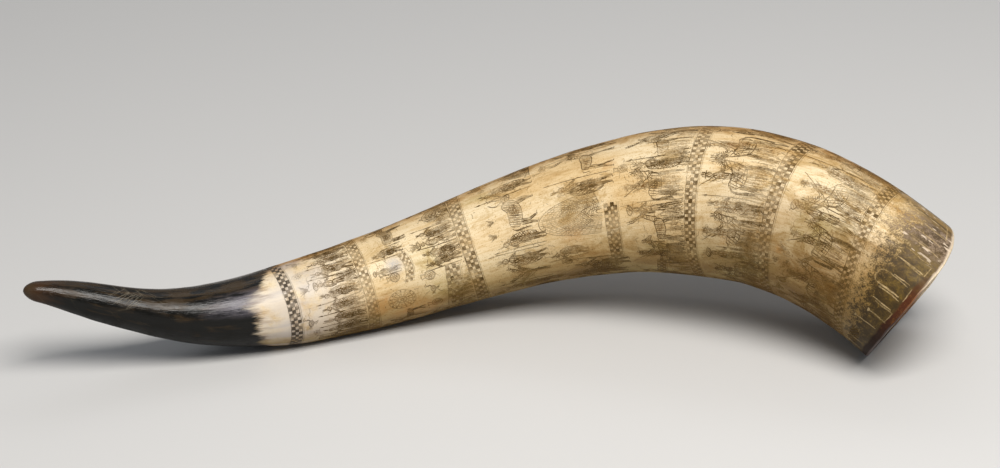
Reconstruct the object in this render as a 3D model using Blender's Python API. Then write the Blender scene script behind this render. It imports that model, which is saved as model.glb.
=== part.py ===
# Engraved cow horn: one hollow horn with a solid tip, sawn off flat at the mouth.
# It lies on its side on two small flats, its tip to the left and its mouth to the right.
# Units are metres. +Z is up, +X points to the mouth end and +Y to the back.

from math import cos, radians, sin

import bmesh
import bpy
import numpy as np
from mathutils import Matrix, Vector

# Stations along the middle line, from the centre of the mouth to the end of the tip.
# At each one: the line's climb above level, its swing to the back, and the horn's radius.
STATION = (0.000, 0.060, 0.120, 0.180, 0.240, 0.300, 0.340, 0.380, 0.420, 0.450, 0.480)
CLIMB_DEG = (29, 16, -3, -14, -16, -8, 0, 7, 19, 21, 13)
SWING_DEG = (40, 30, 17, 4, -9, -20, -25, -22, -17, -14, -18)
RADIUS = (0.0370, 0.0380, 0.0380, 0.0325, 0.0275, 0.0235, 0.0210, 0.0160, 0.0110, 0.0085, 0.0040)
TIP_ROUNDING = 0.007        # the blunt tip closes over this length

# The horn is not quite round: it is wider along one line, which dips to the back.
OVAL = 1.15                 # width along that line, against the width across it
OVAL_DIP_DEG = 25

# The hollow, from the mouth towards the tip.
CAVITY_LENGTH = 0.300
WALL_AT_MOUTH = 0.0035
WALL_AT_END = 0.0080
CAVITY_END_SHARPNESS = 8    # a higher power makes the hollow's end blunter

# The sawn mouth: which way the plane of the cut faces inwards, and the worn corner of its rim.
MOUTH_CLIMB_DEG = 33
MOUTH_SWING_DEG = 29
UP_THE_MOUTH_CLIMB_DEG = 42
UP_THE_MOUTH_SWING_DEG = 155
WORN_CORNER_HEIGHT = 0.0376  # from the centre of the mouth to the line of the horn's back
WORN_CORNER_BACK = 0.013    # how far the wear reaches along the horn's back
WORN_CORNER_DOWN = 0.027    # and down the rim
WORN_CORNER_STEPS = 8

FLAT_SPOT_DEPTH = 0.0025    # how much is worn off the underside where the horn rests

RING_SPACING = 0.012
OUTER_SIDES = 28            # even numbers, at least 8
INNER_SIDES = 24
STUB = 0.045                # extra length past the mouth, which the cut takes off
BIG = 0.8                   # a cutter's size, well past the horn

HORN_COLOUR = (0.66, 0.52, 0.33, 1.0)
HORN_ROUGHNESS = 0.32


def clear_scene():
    for item in list(bpy.data.objects):
        bpy.data.objects.remove(item, do_unlink=True)


def new_collection(name):
    collection = bpy.data.collections.new(name)
    bpy.context.scene.collection.children.link(collection)
    return collection


def direction(climb_deg, swing_deg):
    """Unit vector that climbs above level and swings from -X towards +Y."""
    climb = np.radians(climb_deg)
    swing = np.radians(swing_deg)
    return np.stack([-np.cos(climb) * np.cos(swing), np.cos(climb) * np.sin(swing), np.sin(climb)], -1)


def smooth(at, values):
    """Values between the stations: cubic pieces whose slopes match where they meet."""
    station = np.array(STATION)
    value = np.array(values, dtype=float)
    slope = np.gradient(value, station)
    at = np.clip(at, station[0], station[-1])
    left = np.clip(np.searchsorted(station, at, side="right") - 1, 0, len(station) - 2)
    gap = station[left + 1] - station[left]
    t = (at - station[left]) / gap
    return (
        (1 + 2 * t) * (1 - t) ** 2 * value[left]
        + t * (1 - t) ** 2 * gap * slope[left]
        + t ** 2 * (3 - 2 * t) * value[left + 1]
        + t ** 2 * (t - 1) * gap * slope[left + 1]
    )


def middle_line(at):
    """Points of the middle line: its direction summed in fine steps from the mouth."""
    step = 0.001
    fine = np.arange(-STUB, STATION[-1] + step, step)
    heading = direction(smooth(fine, CLIMB_DEG), smooth(fine, SWING_DEG))
    walked = np.cumsum(0.5 * (heading[1:] + heading[:-1]) * step, axis=0)
    points = np.vstack([np.zeros(3), walked])
    mouth = [np.interp(0.0, fine, points[:, axis]) for axis in range(3)]
    return np.stack([np.interp(at, fine, points[:, axis]) for axis in range(3)], -1) - mouth


def closing(at, start, end, power):
    """1 up to start, then falls to 0 at end as a rounded cap."""
    t = np.clip((at - start) / (end - start), 0, 1)
    return np.sqrt(1 - t ** power)


def stations_with_dense_end(start, end, dense_length, dense_steps):
    """Even ring positions, with more of them where the end rounds off."""
    plain_end = end - dense_length
    count = max(2, round((plain_end - start) / RING_SPACING) + 1)
    plain = np.linspace(start, plain_end, count)
    turn = np.linspace(0, 0.48 * np.pi, dense_steps + 1)[1:]
    return np.concatenate([plain, plain_end + dense_length * np.sin(turn)])


def oval_stretch(factor):
    dip = radians(OVAL_DIP_DEG)
    return Matrix.Scale(factor, 4, Vector((0, cos(dip), -sin(dip))))


def tube_mesh(name, at, radius, sides):
    """A round tube along the middle line, then widened into an oval one."""
    narrow = np.array(oval_stretch(1 / OVAL))[:3, :3]
    points = middle_line(at) @ narrow.T
    curve = bpy.data.curves.new(name + "_line", "CURVE")
    curve.dimensions = "3D"
    curve.fill_mode = "FULL"
    curve.bevel_depth = 1.0
    curve.bevel_resolution = sides // 2 - 2
    curve.use_fill_caps = True
    spline = curve.splines.new("POLY")
    spline.points.add(len(points) - 1)
    for point, place, thickness in zip(spline.points, points, radius):
        point.co = (*place, 1.0)
        point.radius = thickness
    guide = bpy.data.objects.new(name + "_guide", curve)
    bpy.context.scene.collection.objects.link(guide)
    bpy.context.view_layer.update()
    evaluated = guide.evaluated_get(bpy.context.evaluated_depsgraph_get())
    mesh = bpy.data.meshes.new_from_object(evaluated)
    mesh.name = name
    mesh.transform(guide.matrix_world)
    bpy.data.objects.remove(guide, do_unlink=True)
    mesh.transform(oval_stretch(OVAL))
    shape = bmesh.new()
    shape.from_mesh(mesh)
    bmesh.ops.remove_doubles(shape, verts=shape.verts, dist=0.00002)
    bmesh.ops.recalc_face_normals(shape, faces=shape.faces)
    shape.to_mesh(mesh)
    shape.free()
    mesh.shade_smooth()
    return mesh


def add_object(name, mesh, collection, parent):
    item = bpy.data.objects.new(name, mesh)
    collection.objects.link(item)
    item.parent = parent
    return item


def as_cutter(item):
    item.display_type = "WIRE"
    item.hide_render = True
    return item


def box_mesh(name, low, high):
    shape = bmesh.new()
    bmesh.ops.create_cube(shape, size=1.0)
    size = Vector(high) - Vector(low)
    middle = (Vector(high) + Vector(low)) / 2
    bmesh.ops.transform(shape, matrix=Matrix.Diagonal((*size, 1.0)), verts=shape.verts)
    bmesh.ops.translate(shape, vec=middle, verts=shape.verts)
    mesh = bpy.data.meshes.new(name)
    shape.to_mesh(mesh)
    shape.free()
    return mesh


def keeper_mesh():
    """The block that the sawn horn fills: local +X faces out of the mouth, +Z up along its rim."""
    taller = WORN_CORNER_DOWN / WORN_CORNER_BACK
    mesh = box_mesh("mouth_keeper", (-BIG, -BIG, -BIG), (0.0, BIG, WORN_CORNER_HEIGHT / taller))
    shape = bmesh.new()
    shape.from_mesh(mesh)
    corner = [
        edge
        for edge in shape.edges
        if all(abs(vert.co.x) < 1e-6 and vert.co.z > 0 for vert in edge.verts)
    ]
    bmesh.ops.bevel(
        shape,
        geom=corner,
        offset=WORN_CORNER_BACK,
        segments=WORN_CORNER_STEPS,
        profile=0.5,
        affect="EDGES",
    )
    shape.to_mesh(mesh)
    shape.free()
    mesh.transform(Matrix.Scale(taller, 4, Vector((0, 0, 1))))
    out = -Vector(direction(MOUTH_CLIMB_DEG, MOUTH_SWING_DEG))
    up = Vector(direction(UP_THE_MOUTH_CLIMB_DEG, UP_THE_MOUTH_SWING_DEG))
    side = up.cross(out).normalized()
    up = out.cross(side)
    frame = Matrix((out, side, up)).transposed()
    mesh.transform(frame.to_4x4())
    return mesh


def cut(item, cutter, operation):
    modifier = item.modifiers.new(cutter.name, "BOOLEAN")
    modifier.operation = operation
    modifier.solver = "EXACT"
    modifier.object = cutter


def horn_material():
    material = bpy.data.materials.new("horn")
    material.use_nodes = True
    shader = material.node_tree.nodes["Principled BSDF"]
    shader.inputs["Base Color"].default_value = HORN_COLOUR
    shader.inputs["Roughness"].default_value = HORN_ROUGHNESS
    shader.inputs["Metallic"].default_value = 0.0
    return material


def build_horn(parts, cutters, place):
    length = STATION[-1]
    outer_at = stations_with_dense_end(-STUB, length, TIP_ROUNDING, 6)
    outer_radius = smooth(outer_at, RADIUS) * closing(outer_at, length - TIP_ROUNDING, length, 2)
    horn = add_object("horn", tube_mesh("horn", outer_at, outer_radius, OUTER_SIDES), parts, place)
    horn.data.materials.append(horn_material())

    inner_at = stations_with_dense_end(-STUB - RING_SPACING, CAVITY_LENGTH, 0.03, 6)
    depth = np.clip(inner_at / CAVITY_LENGTH, 0, 1)
    wall = WALL_AT_MOUTH + (WALL_AT_END - WALL_AT_MOUTH) * depth ** 2
    inner_radius = (smooth(inner_at, RADIUS) - wall) * closing(inner_at, 0, CAVITY_LENGTH, CAVITY_END_SHARPNESS)
    hollow = add_object("hollow", tube_mesh("hollow", inner_at, inner_radius, INNER_SIDES), cutters, place)

    keeper = add_object("mouth_keeper", keeper_mesh(), cutters, place)
    cut(horn, as_cutter(keeper), "INTERSECT")
    cut(horn, as_cutter(hollow), "DIFFERENCE")
    return horn


def box_of(item):
    """Lowest and highest corners of an object as its modifiers leave it."""
    bpy.context.view_layer.update()
    evaluated = item.evaluated_get(bpy.context.evaluated_depsgraph_get())
    corners = np.array([item.matrix_world @ Vector(corner) for corner in evaluated.bound_box])
    return corners.min(axis=0), corners.max(axis=0)


def lay_on_ground(horn, place, cutters):
    """Centres the horn over the origin and wears its underside flat at Z = 0."""
    low, high = box_of(horn)
    middle = (low + high) / 2
    place.location = (-middle[0], -middle[1], -low[2] - FLAT_SPOT_DEPTH)
    ground_mesh = box_mesh("ground", (-BIG, -BIG, -BIG), (BIG, BIG, 0.0))
    ground = add_object("ground", ground_mesh, cutters, None)
    cut(horn, as_cutter(ground), "DIFFERENCE")


def main():
    clear_scene()
    parts = new_collection("engraved_cow_horn")
    cutters = new_collection("cutters")
    place = bpy.data.objects.new("horn_place", None)
    parts.objects.link(place)
    horn = build_horn(parts, cutters, place)
    lay_on_ground(horn, place, cutters)


main()
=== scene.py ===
import bpy
import numpy as np
from mathutils import Matrix, Vector


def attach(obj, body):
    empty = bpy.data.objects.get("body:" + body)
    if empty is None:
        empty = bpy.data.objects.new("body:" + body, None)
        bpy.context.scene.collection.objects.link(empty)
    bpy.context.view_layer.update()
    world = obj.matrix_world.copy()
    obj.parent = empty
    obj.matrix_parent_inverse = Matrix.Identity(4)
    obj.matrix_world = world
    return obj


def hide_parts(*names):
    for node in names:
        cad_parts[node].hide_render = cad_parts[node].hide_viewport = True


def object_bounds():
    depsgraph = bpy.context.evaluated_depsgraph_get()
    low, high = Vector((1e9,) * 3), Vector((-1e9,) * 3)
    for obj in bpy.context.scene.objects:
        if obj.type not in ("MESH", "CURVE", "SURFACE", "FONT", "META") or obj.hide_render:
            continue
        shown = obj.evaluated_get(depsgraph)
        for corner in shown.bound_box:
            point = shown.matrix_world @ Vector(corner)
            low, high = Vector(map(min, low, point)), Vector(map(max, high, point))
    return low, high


# The looks of the engraved cow horn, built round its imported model.
# Lengths are metres unless a name ends in Mm, and angles are radians unless a name ends in Deg.
# A place on the horn is (at, around): at runs from the mouth to the tip along the middle line,
# around is an angle that is 0 on the front, 90 degrees on top and -90 underneath.

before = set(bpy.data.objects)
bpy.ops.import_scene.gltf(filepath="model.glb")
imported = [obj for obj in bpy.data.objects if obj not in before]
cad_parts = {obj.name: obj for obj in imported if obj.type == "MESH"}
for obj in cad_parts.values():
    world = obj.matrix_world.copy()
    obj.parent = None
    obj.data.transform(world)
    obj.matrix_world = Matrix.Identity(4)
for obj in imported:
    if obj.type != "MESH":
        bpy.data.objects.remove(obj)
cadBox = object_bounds()
print("frame loaded, box", [round(value, 4) for value in (*cadBox[0], *cadBox[1])])

mm = 0.001

hornForm = {
    "stationMm": (0, 60, 120, 180, 240, 300, 340, 380, 420, 450, 480),
    "climbDeg": (29, 16, -3, -14, -16, -8, 0, 7, 19, 21, 13),
    "swingDeg": (40, 30, 17, 4, -9, -20, -25, -22, -17, -14, -18),
    "radiusMm": (37, 38, 38, 32.5, 27.5, 23.5, 21, 16, 11, 8.5, 4),
    "tipRoundingMm": 7,
    "stubMm": 45,               # the middle line is carried this far past the mouth
    "oval": 1.15,               # width from front to back, against the height
    "ovalDipDeg": 25,           # the wide line dips this much to the back
    "cavityMm": 300,
    "cavityCapMm": 20,
    "wallAtMouthMm": 3.5,
    "wallAtEndMm": 8,
    "cavityEndPower": 8,
    "mouthClimbDeg": 33,        # the way into the horn, square to the sawn mouth
    "mouthSwingDeg": 29,
    "upTheMouthClimbDeg": 42,
    "upTheMouthSwingDeg": 155,
    "cutWithinMm": 50,          # the cut is nearer to the mouth than this all round
    "wornHeightMm": 37.6,       # the worn corner of the rim, as in the CAD
    "wornBackMm": 13,
    "wornDownMm": 27,
}

hornLooks = {
    "sides": 192,
    "rings": 356,
    "tipRings": 9,
    "cavityRings": 60,
    "cavityEndRings": 10,
    "lipMm": 0.7,               # how far the rim's edges are rounded
    "lipShare": 0.16,           # and over how much of its width
    "lipRings": 4,
    "cutBlendMm": 60,           # rings lean with the mouth's cut over this length
    "growthMm": 0.10,           # soft growth waves
    "scraperMm": 0.07,          # the flats that a scraper leaves
    "carvingMm": 0.035,         # the dark tip is less even
    "edgeWearMm": 0.35,         # the sawn edge isn't quite straight
    "ridgeShare": 0.005,        # ridges inside, as a share of the radius
    "tipStartMm": 350,
    "tipBlendMm": 30,
    "smoothTipMm": 12,
    "halvings": 40,             # how closely the sawn edge is found,
    "edgeSides": 721,           # and at how many angles
    "boxSides": 181,            # the points from which the horn's own box is measured
    "boxRings": 400,
}

rippleForm = {
    # seed, how many waves, the shortest and the longest in millimetres, most turns round the horn
    "growth": (11, 7, 24, 60, 2),
    "scraper": (12, 9, 60, 160, 9),
    "carving": (13, 14, 7, 22, 7),
    "edgeWear": (14, 9, 10, 20, 17),
    "ridge": (15, 9, 60, 200, 14),
}


def beside(*values):
    # arrays of one shape, side by side along a new last axis
    return np.stack(values, -1)


def nearTurn(around):
    # the same angle between minus half a turn and half a turn
    return (around + np.pi) % (2 * np.pi) - np.pi


def headingOf(climbDeg, swingDeg):
    # unit vector: cos(climb) times the swing's direction from -X towards +Y, and sin(climb) upwards
    climb, swing = np.radians(climbDeg), np.radians(swingDeg)
    return beside(-np.cos(climb) * np.cos(swing), np.cos(climb) * np.sin(swing), np.sin(climb))


def betweenStations(at, name):
    # cubic pieces through the stations, each with the slopes that numpy's gradient gives there
    station = np.asarray(hornForm["stationMm"], dtype=float) * mm
    value = np.asarray(hornForm[name], dtype=float)
    slope = np.gradient(value, station)
    at = np.clip(at, station[0], station[-1])
    left = np.clip(np.searchsorted(station, at, side="right") - 1, 0, len(station) - 2)
    gap = station[left + 1] - station[left]
    t = (at - station[left]) / gap
    return (
        (1 + 2 * t) * (1 - t) ** 2 * value[left]
        + t * (1 - t) ** 2 * gap * slope[left]
        + t ** 2 * (3 - 2 * t) * value[left + 1]
        + t ** 2 * (t - 1) * gap * slope[left + 1]
    )


def closing(at, start, end, power=2):
    # 1 up to start, then the root of 1 minus t to the power, which falls to 0 at end as a rounded cap
    t = np.clip((at - start) / (end - start), 0, 1)
    return np.sqrt(1 - t ** power)


def smoothStep(value, low, high):
    # 0 below low and 1 above high, with three times the share squared less twice its cube between them
    t = np.clip((value - low) / (high - low), 0, 1)
    return t * t * (3 - 2 * t)


hornLength = hornForm["stationMm"][-1] * mm
tipStart = hornLength - hornForm["tipRoundingMm"] * mm
cavityEnd = hornForm["cavityMm"] * mm
dip = np.radians(hornForm["ovalDipDeg"])
ovalAxis = np.array((0.0, np.cos(dip), -np.sin(dip)))   # from the front of the horn to its back


def stretched(points, factor):
    # every point keeps its place across the oval axis and is moved to factor times its place along it
    return points + (factor - 1) * (points @ ovalAxis)[..., None] * ovalAxis


def runMiddleLine():
    # the heading summed in half-millimetre steps, then narrowed, with a front and a top vector square to it
    step = 0.5 * mm
    at = np.arange(-hornForm["stubMm"] * mm, hornLength + step, step)
    heading = headingOf(betweenStations(at, "climbDeg"), betweenStations(at, "swingDeg"))
    walked = np.vstack([np.zeros(3), np.cumsum(0.5 * (heading[1:] + heading[:-1]) * step, axis=0)])
    mouth = np.array([np.interp(0.0, at, walked[:, axis]) for axis in range(3)])
    middle = stretched(walked - mouth, 1 / hornForm["oval"])
    along = np.gradient(middle, axis=0)
    along /= np.linalg.norm(along, axis=1, keepdims=True)
    front = -ovalAxis + (along @ ovalAxis)[:, None] * along
    front /= np.linalg.norm(front, axis=1, keepdims=True)
    return {"at": at, "middle": middle, "front": front, "top": np.cross(along, front)}


spine = runMiddleLine()


def fromSpine(at, name):
    # a point or a vector of the middle line, between the two that were worked out beside it
    return beside(*(np.interp(at, spine["at"], spine[name][:, axis]) for axis in range(3)))


def roundTheLine(at, around, radius):
    # the middle line plus radius times cos(around) of the front vector and sin(around) of the top one,
    # then made oval
    front, top = fromSpine(at, "front"), fromSpine(at, "top")
    spoke = np.cos(around)[..., None] * front + np.sin(around)[..., None] * top
    return stretched(fromSpine(at, "middle") + np.asarray(radius)[..., None] * spoke, hornForm["oval"])


def outerRadius(at):
    # the radius between the stations, closed at the tip
    return betweenStations(at, "radiusMm") * mm * closing(at, tipStart, hornLength)


def innerRadius(at):
    # the same radius less the wall, which grows with the square of the depth, closed at its blunt end
    depth = np.clip(at / cavityEnd, 0, 1)
    wallMm = hornForm["wallAtMouthMm"] + (hornForm["wallAtEndMm"] - hornForm["wallAtMouthMm"]) * depth ** 2
    shut = closing(at, 0, cavityEnd, hornForm["cavityEndPower"])
    return (betweenStations(at, "radiusMm") - wallMm) * mm * shut


def ripples(name, at, around):
    # a sum of sine waves with random lengths, whole turns round the horn and phases, about 1 high
    seed, waves, shortMm, longMm, mostTurns = rippleForm[name]
    rng = np.random.default_rng(seed)
    total = np.zeros(np.broadcast(at, around).shape)
    for wave in range(waves):
        lengthMm = rng.uniform(shortMm, longMm)
        turns = rng.integers(-mostTurns, mostTurns + 1)
        total = total + np.sin(2 * np.pi * at / (lengthMm * mm) + turns * around + rng.uniform(0, 2 * np.pi))
    return total / np.sqrt(waves)


def relief(at, around):
    # growth waves and scraper flats on the body, closer ones on the dark tip
    looks = hornLooks
    tip = smoothStep(at, looks["tipStartMm"] * mm, (looks["tipStartMm"] + looks["tipBlendMm"]) * mm)
    growth = looks["growthMm"] * ripples("growth", at, around)
    scraper = looks["scraperMm"] * ripples("scraper", at, around)
    carving = looks["carvingMm"] * ripples("carving", at, around)
    total = growth * (1 - tip) + scraper + carving * tip
    return total * mm * closing(at, hornLength - looks["smoothTipMm"] * mm, hornLength)


mouthOut = -headingOf(hornForm["mouthClimbDeg"], hornForm["mouthSwingDeg"])
mouthUp = headingOf(hornForm["upTheMouthClimbDeg"], hornForm["upTheMouthSwingDeg"])
mouthSide = np.cross(mouthUp, mouthOut)
mouthSide /= np.linalg.norm(mouthSide)
mouthUp = np.cross(mouthOut, mouthSide)


def pastTheMouth(points):
    # above 0 outside the sawn plane or the ellipse of the worn corner, both in shares of the corner's size
    back, down = hornForm["wornBackMm"] * mm, hornForm["wornDownMm"] * mm
    out = (points @ mouthOut + back) / back
    up = (points @ mouthUp - hornForm["wornHeightMm"] * mm) / down + 1
    return np.where((out > 0) & (up > 0), np.hypot(out, up), np.maximum(out, up)) - 1


def cutPlace(around, radiusOf):
    # halves the stretch between a place outside the cut and one inside it, at every angle at once
    low = np.full(around.shape, -hornForm["stubMm"] * mm)
    high = np.full(around.shape, hornForm["cutWithinMm"] * mm)
    for halving in range(hornLooks["halvings"]):
        middle = (low + high) / 2
        outside = pastTheMouth(roundTheLine(middle, around, radiusOf(middle, around))) > 0
        low = np.where(outside, middle, low)
        high = np.where(outside, high, middle)
    return high


def findPlace():
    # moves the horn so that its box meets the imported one: the middle of X and Y, and the top of Z
    around = np.linspace(-np.pi, np.pi, hornLooks["boxSides"])
    start = cutPlace(around, lambda at, turn: outerRadius(at))
    at = start + (hornLength - start) * np.linspace(0, 1, hornLooks["boxRings"])[:, None]
    points = roundTheLine(at, np.broadcast_to(around, at.shape), outerRadius(at)).reshape(-1, 3)
    low, high = points.min(0), points.max(0)
    cadLow, cadHigh = (np.array(corner) for corner in cadBox)
    middle = (cadLow + cadHigh - low - high) / 2
    return np.array((middle[0], middle[1], cadHigh[2] - high[2]))


place = findPlace()
print("horn placed at", np.round(place, 4))


def wornRadius(at, around):
    # the outer radius with its waves and flats
    return outerRadius(at) + relief(at, around)


def onTable(points):
    # moved to the horn's place, with its underside worn flat where it would sink into the table
    points = points + place
    points[..., 2] = np.maximum(points[..., 2], 0)
    return points


def onSkin(at, around, lift=0.0):
    # a point on the outside of the horn, or that much above it
    return onTable(roundTheLine(at, around, wornRadius(at, around) + lift))


def straightPlace(at, around, radius):
    # where the point would be if the horn were straight along Z: what the materials' patterns follow
    return beside(radius * np.cos(around), radius * np.sin(around), at)


fineAround = np.radians(np.linspace(-180, 180, hornLooks["edgeSides"]))
edgeWear = hornLooks["edgeWearMm"] * mm * ripples("edgeWear", np.zeros(fineAround.shape), fineAround)
fineCut = cutPlace(fineAround, wornRadius) + np.abs(edgeWear)


def cutAt(around):
    # where the sawn edge is, along the horn, at each angle
    return np.interp(around, fineAround, fineCut)


def fromCut(at, around):
    # how far a place is from the sawn edge, along the horn
    return at - cutAt(nearTurn(around))


# The picture that is cut into the horn: marks on flat millimetre paper, then laid on the skin.

plainCheck = {
    "rows": 3,
    "front": 0.0,               # how far on it is in front and on top, in millimetres
    "top": 0.0,
    "lean": 0.0,                # millimetres for each radian from its middle
    "bow": 0.0,                 # and for each radian squared
    "fromDeg": -180,
    "toDeg": 180,
    "wash": 1.0,                # the stain round it
    "ink": 0.85,
}


def check(middle, cell, **others):
    # a checked stripe: its middle and its cells in millimetres, and how it differs from a plain ring
    return {**plainCheck, "middle": middle, "cell": cell, **others}


bandForm = {
    name: check(middle, cell, front=front, top=top, wash=wash, ink=wash)
    for name, middle, cell, front, top, wash in (
        # the middle in millimetres, the cells, how far on it is in front and on top, and how dark it is
        ("first", 347.4, 1.75, -0.2, 2.0, 1.35),
        ("second", 305.2, 1.65, 0.2, 0.4, 0.70),
        ("third", 246.4, 1.85, 0.3, -0.6, 0.78),
        ("fourth", 118.7, 1.8, 3.4, -0.5, 0.96),
        ("fifth", 73.0, 1.9, 7.2, 3.5, 0.98),
        ("sixth", 27.6, 1.7, 6.1, 9.0, 0.92),
    )
}

patchForm = (
    # short checked patches between the bands
    check(166.6, 1.7, rows=4, lean=-2.6, fromDeg=-50, toDeg=4),
    check(259.8, 1.9, rows=4, lean=-4.2, fromDeg=-64, toDeg=-10),
    check(280.4, 1.3, bow=26, fromDeg=-13, toDeg=23),
    check(10.2, 1.2, rows=4, lean=1.0, fromDeg=-78, toDeg=-58),
    check(143.0, 1.6, lean=-7.0, fromDeg=-76, toDeg=-52),
    check(190.0, 1.8, rows=4, lean=3.0, fromDeg=118, toDeg=168),
    check(96.0, 1.8, lean=-2.0, fromDeg=-168, toDeg=-132),
)

checks = (*bandForm.values(), *patchForm)

lineForm = {
    "liftMm": 0.05,
    "fineMm": 0.36,
    "strokeMm": 0.48,
    "boldMm": 0.62,
    "hatchGap": 1.65,           # all hatching is this much wider than written
    "stepMm": 1.6,
    "wobbleMm": 0.07,
    "againMm": 0.26,            # many strokes are cut twice, this far apart
    "againShare": 0.30,
    "shortestMm": 0.2,
    "clearOfCutMm": 0.6,
    "clearOfTableMm": 0.35,
}


def checkPlace(form, around):
    # millimetres from the mouth: middle + front * cos(around) + top * sin(around), and for a patch
    # lean * turn + bow * turn squared, where turn is measured from its middle
    turn = around - np.radians((form["fromDeg"] + form["toDeg"]) / 2)
    plain = form["middle"] + form["front"] * np.cos(around) + form["top"] * np.sin(around)
    return plain + form["lean"] * turn + form["bow"] * turn ** 2


def withinCheck(form, around, marginDeg=0):
    # whether an angle is in the stripe, or at most the margin past its ends
    middle, half = (form["fromDeg"] + form["toDeg"]) / 2, (form["toDeg"] - form["fromDeg"]) / 2 + marginDeg
    return np.abs(around - np.radians(middle)) <= np.radians(half)


class Drawing:
    # strokes, filled shapes and stains in millimetres: x goes round the horn and y towards its tip
    def __init__(self, draw, rng):
        self.lines = []
        self.fills = []
        self.stains = []
        draw(self, rng)

    def line(self, points, width="strokeMm", ink=1.0):
        self.lines.append((np.asarray(points, dtype=float), lineForm[width], ink))

    def fill(self, points, ink):
        self.fills.append((np.asarray(points, dtype=float), ink))

    def stain(self, x, y, wide, tall, amount):
        self.stains.append((x, y, wide, tall, amount))

    def outline(self, points, width="strokeMm", ink=1.0):
        points = np.asarray(points, dtype=float)
        self.line(np.vstack([points, points[:1]]), width, ink)

    def hatch(self, points, angleDeg, gapMm, ink=0.9):
        # lines at one angle, each kept where it crosses the outline an odd number of times before
        points = np.asarray(points, dtype=float)
        turn = np.radians(angleDeg)
        along = np.array((np.cos(turn), np.sin(turn)))
        across = np.array((-along[1], along[0]))
        u, w = points @ along, points @ across
        nextU, nextW = np.roll(u, -1), np.roll(w, -1)
        gapMm = gapMm * lineForm["hatchGap"]
        for level in np.arange(w.min() + gapMm / 2, w.max(), gapMm):
            crossed = (w > level) != (nextW > level)
            share = (level - w[crossed]) / (nextW[crossed] - w[crossed])
            ends = np.sort(u[crossed] + share * (nextU[crossed] - u[crossed]))
            for start, end in zip(ends[::2], ends[1::2]):
                if end - start > 0.3:
                    self.line([start * along + level * across, end * along + level * across], "fineMm", ink)

    def shape(self, points, *hatchings, ink=1.0):
        # an outline with hatching in it: an angle, a gap and sometimes an ink for each set of lines
        self.outline(points, ink=ink)
        for hatching in hatchings:
            self.hatch(points, *hatching)

    def dressed(self, points, angleDeg, wash=0.5):
        # a body: its outline, close hatching one way and wide hatching the other, over a thin wash
        points = np.asarray(points, dtype=float)
        self.stain(*points.mean(0), *(np.ptp(points, axis=0) / 2), wash)
        self.shape(points, (angleDeg, 0.55), (angleDeg + 75, 0.9, 0.7), ink=0.9)

    def limb(self, points, thick):
        # two strokes side by side along a bent line, and a third between them where it is thick
        points = np.asarray(points, dtype=float)
        way = np.gradient(points, axis=0)
        way /= np.linalg.norm(way, axis=1, keepdims=True) + 1e-9
        side = beside(-way[:, 1], way[:, 0]) * np.linspace(1.0, 0.55, len(points))[:, None] * thick / 2
        self.line(points + side)
        self.line(points - side)
        if thick > 0.9:
            self.line(points, ink=0.8)

    def head(self, x, y, wide, tall, leanDeg):
        # an oval with slanting hair lines
        self.shape(ring(x, y, wide, tall, 12), (leanDeg, 0.5, 0.75), ink=0.9)
        self.stain(x, y, wide, tall, 0.6)


def ring(x, y, wide, tall, count=20, fromDeg=0, toDeg=360):
    # points of an ellipse, or of a part of one: the middle plus wide * cos and tall * sin of each angle
    closed = abs(toDeg - fromDeg) >= 360
    turn = np.radians(np.linspace(fromDeg, toDeg, count, endpoint=not closed))
    return beside(x + wide * np.cos(turn), y + tall * np.sin(turn))


def bend(points, count=9):
    # a smooth curve near a few guide points: quadratic pieces through the middles of their spans
    points = np.asarray(points, dtype=float)
    middles = np.vstack([points[:1], (points[1:-2] + points[2:-1]) / 2, points[-1:]])
    t = np.linspace(0, 1, max(3, count // (len(middles) - 1) + 1))[:, None]
    spans = zip(middles[:-1], points[1:-1], middles[1:])
    return np.vstack([(1 - t) ** 2 * start + 2 * t * (1 - t) * guide + t ** 2 * end
                      for start, guide, end in spans])


figureKinds = {}


def figure(wide, tall):
    # puts a drawing function among the figures, with the width and the height that they take up
    def enrol(draw):
        figureKinds[draw.__name__] = (draw, wide, tall)
        return draw
    return enrol


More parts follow.
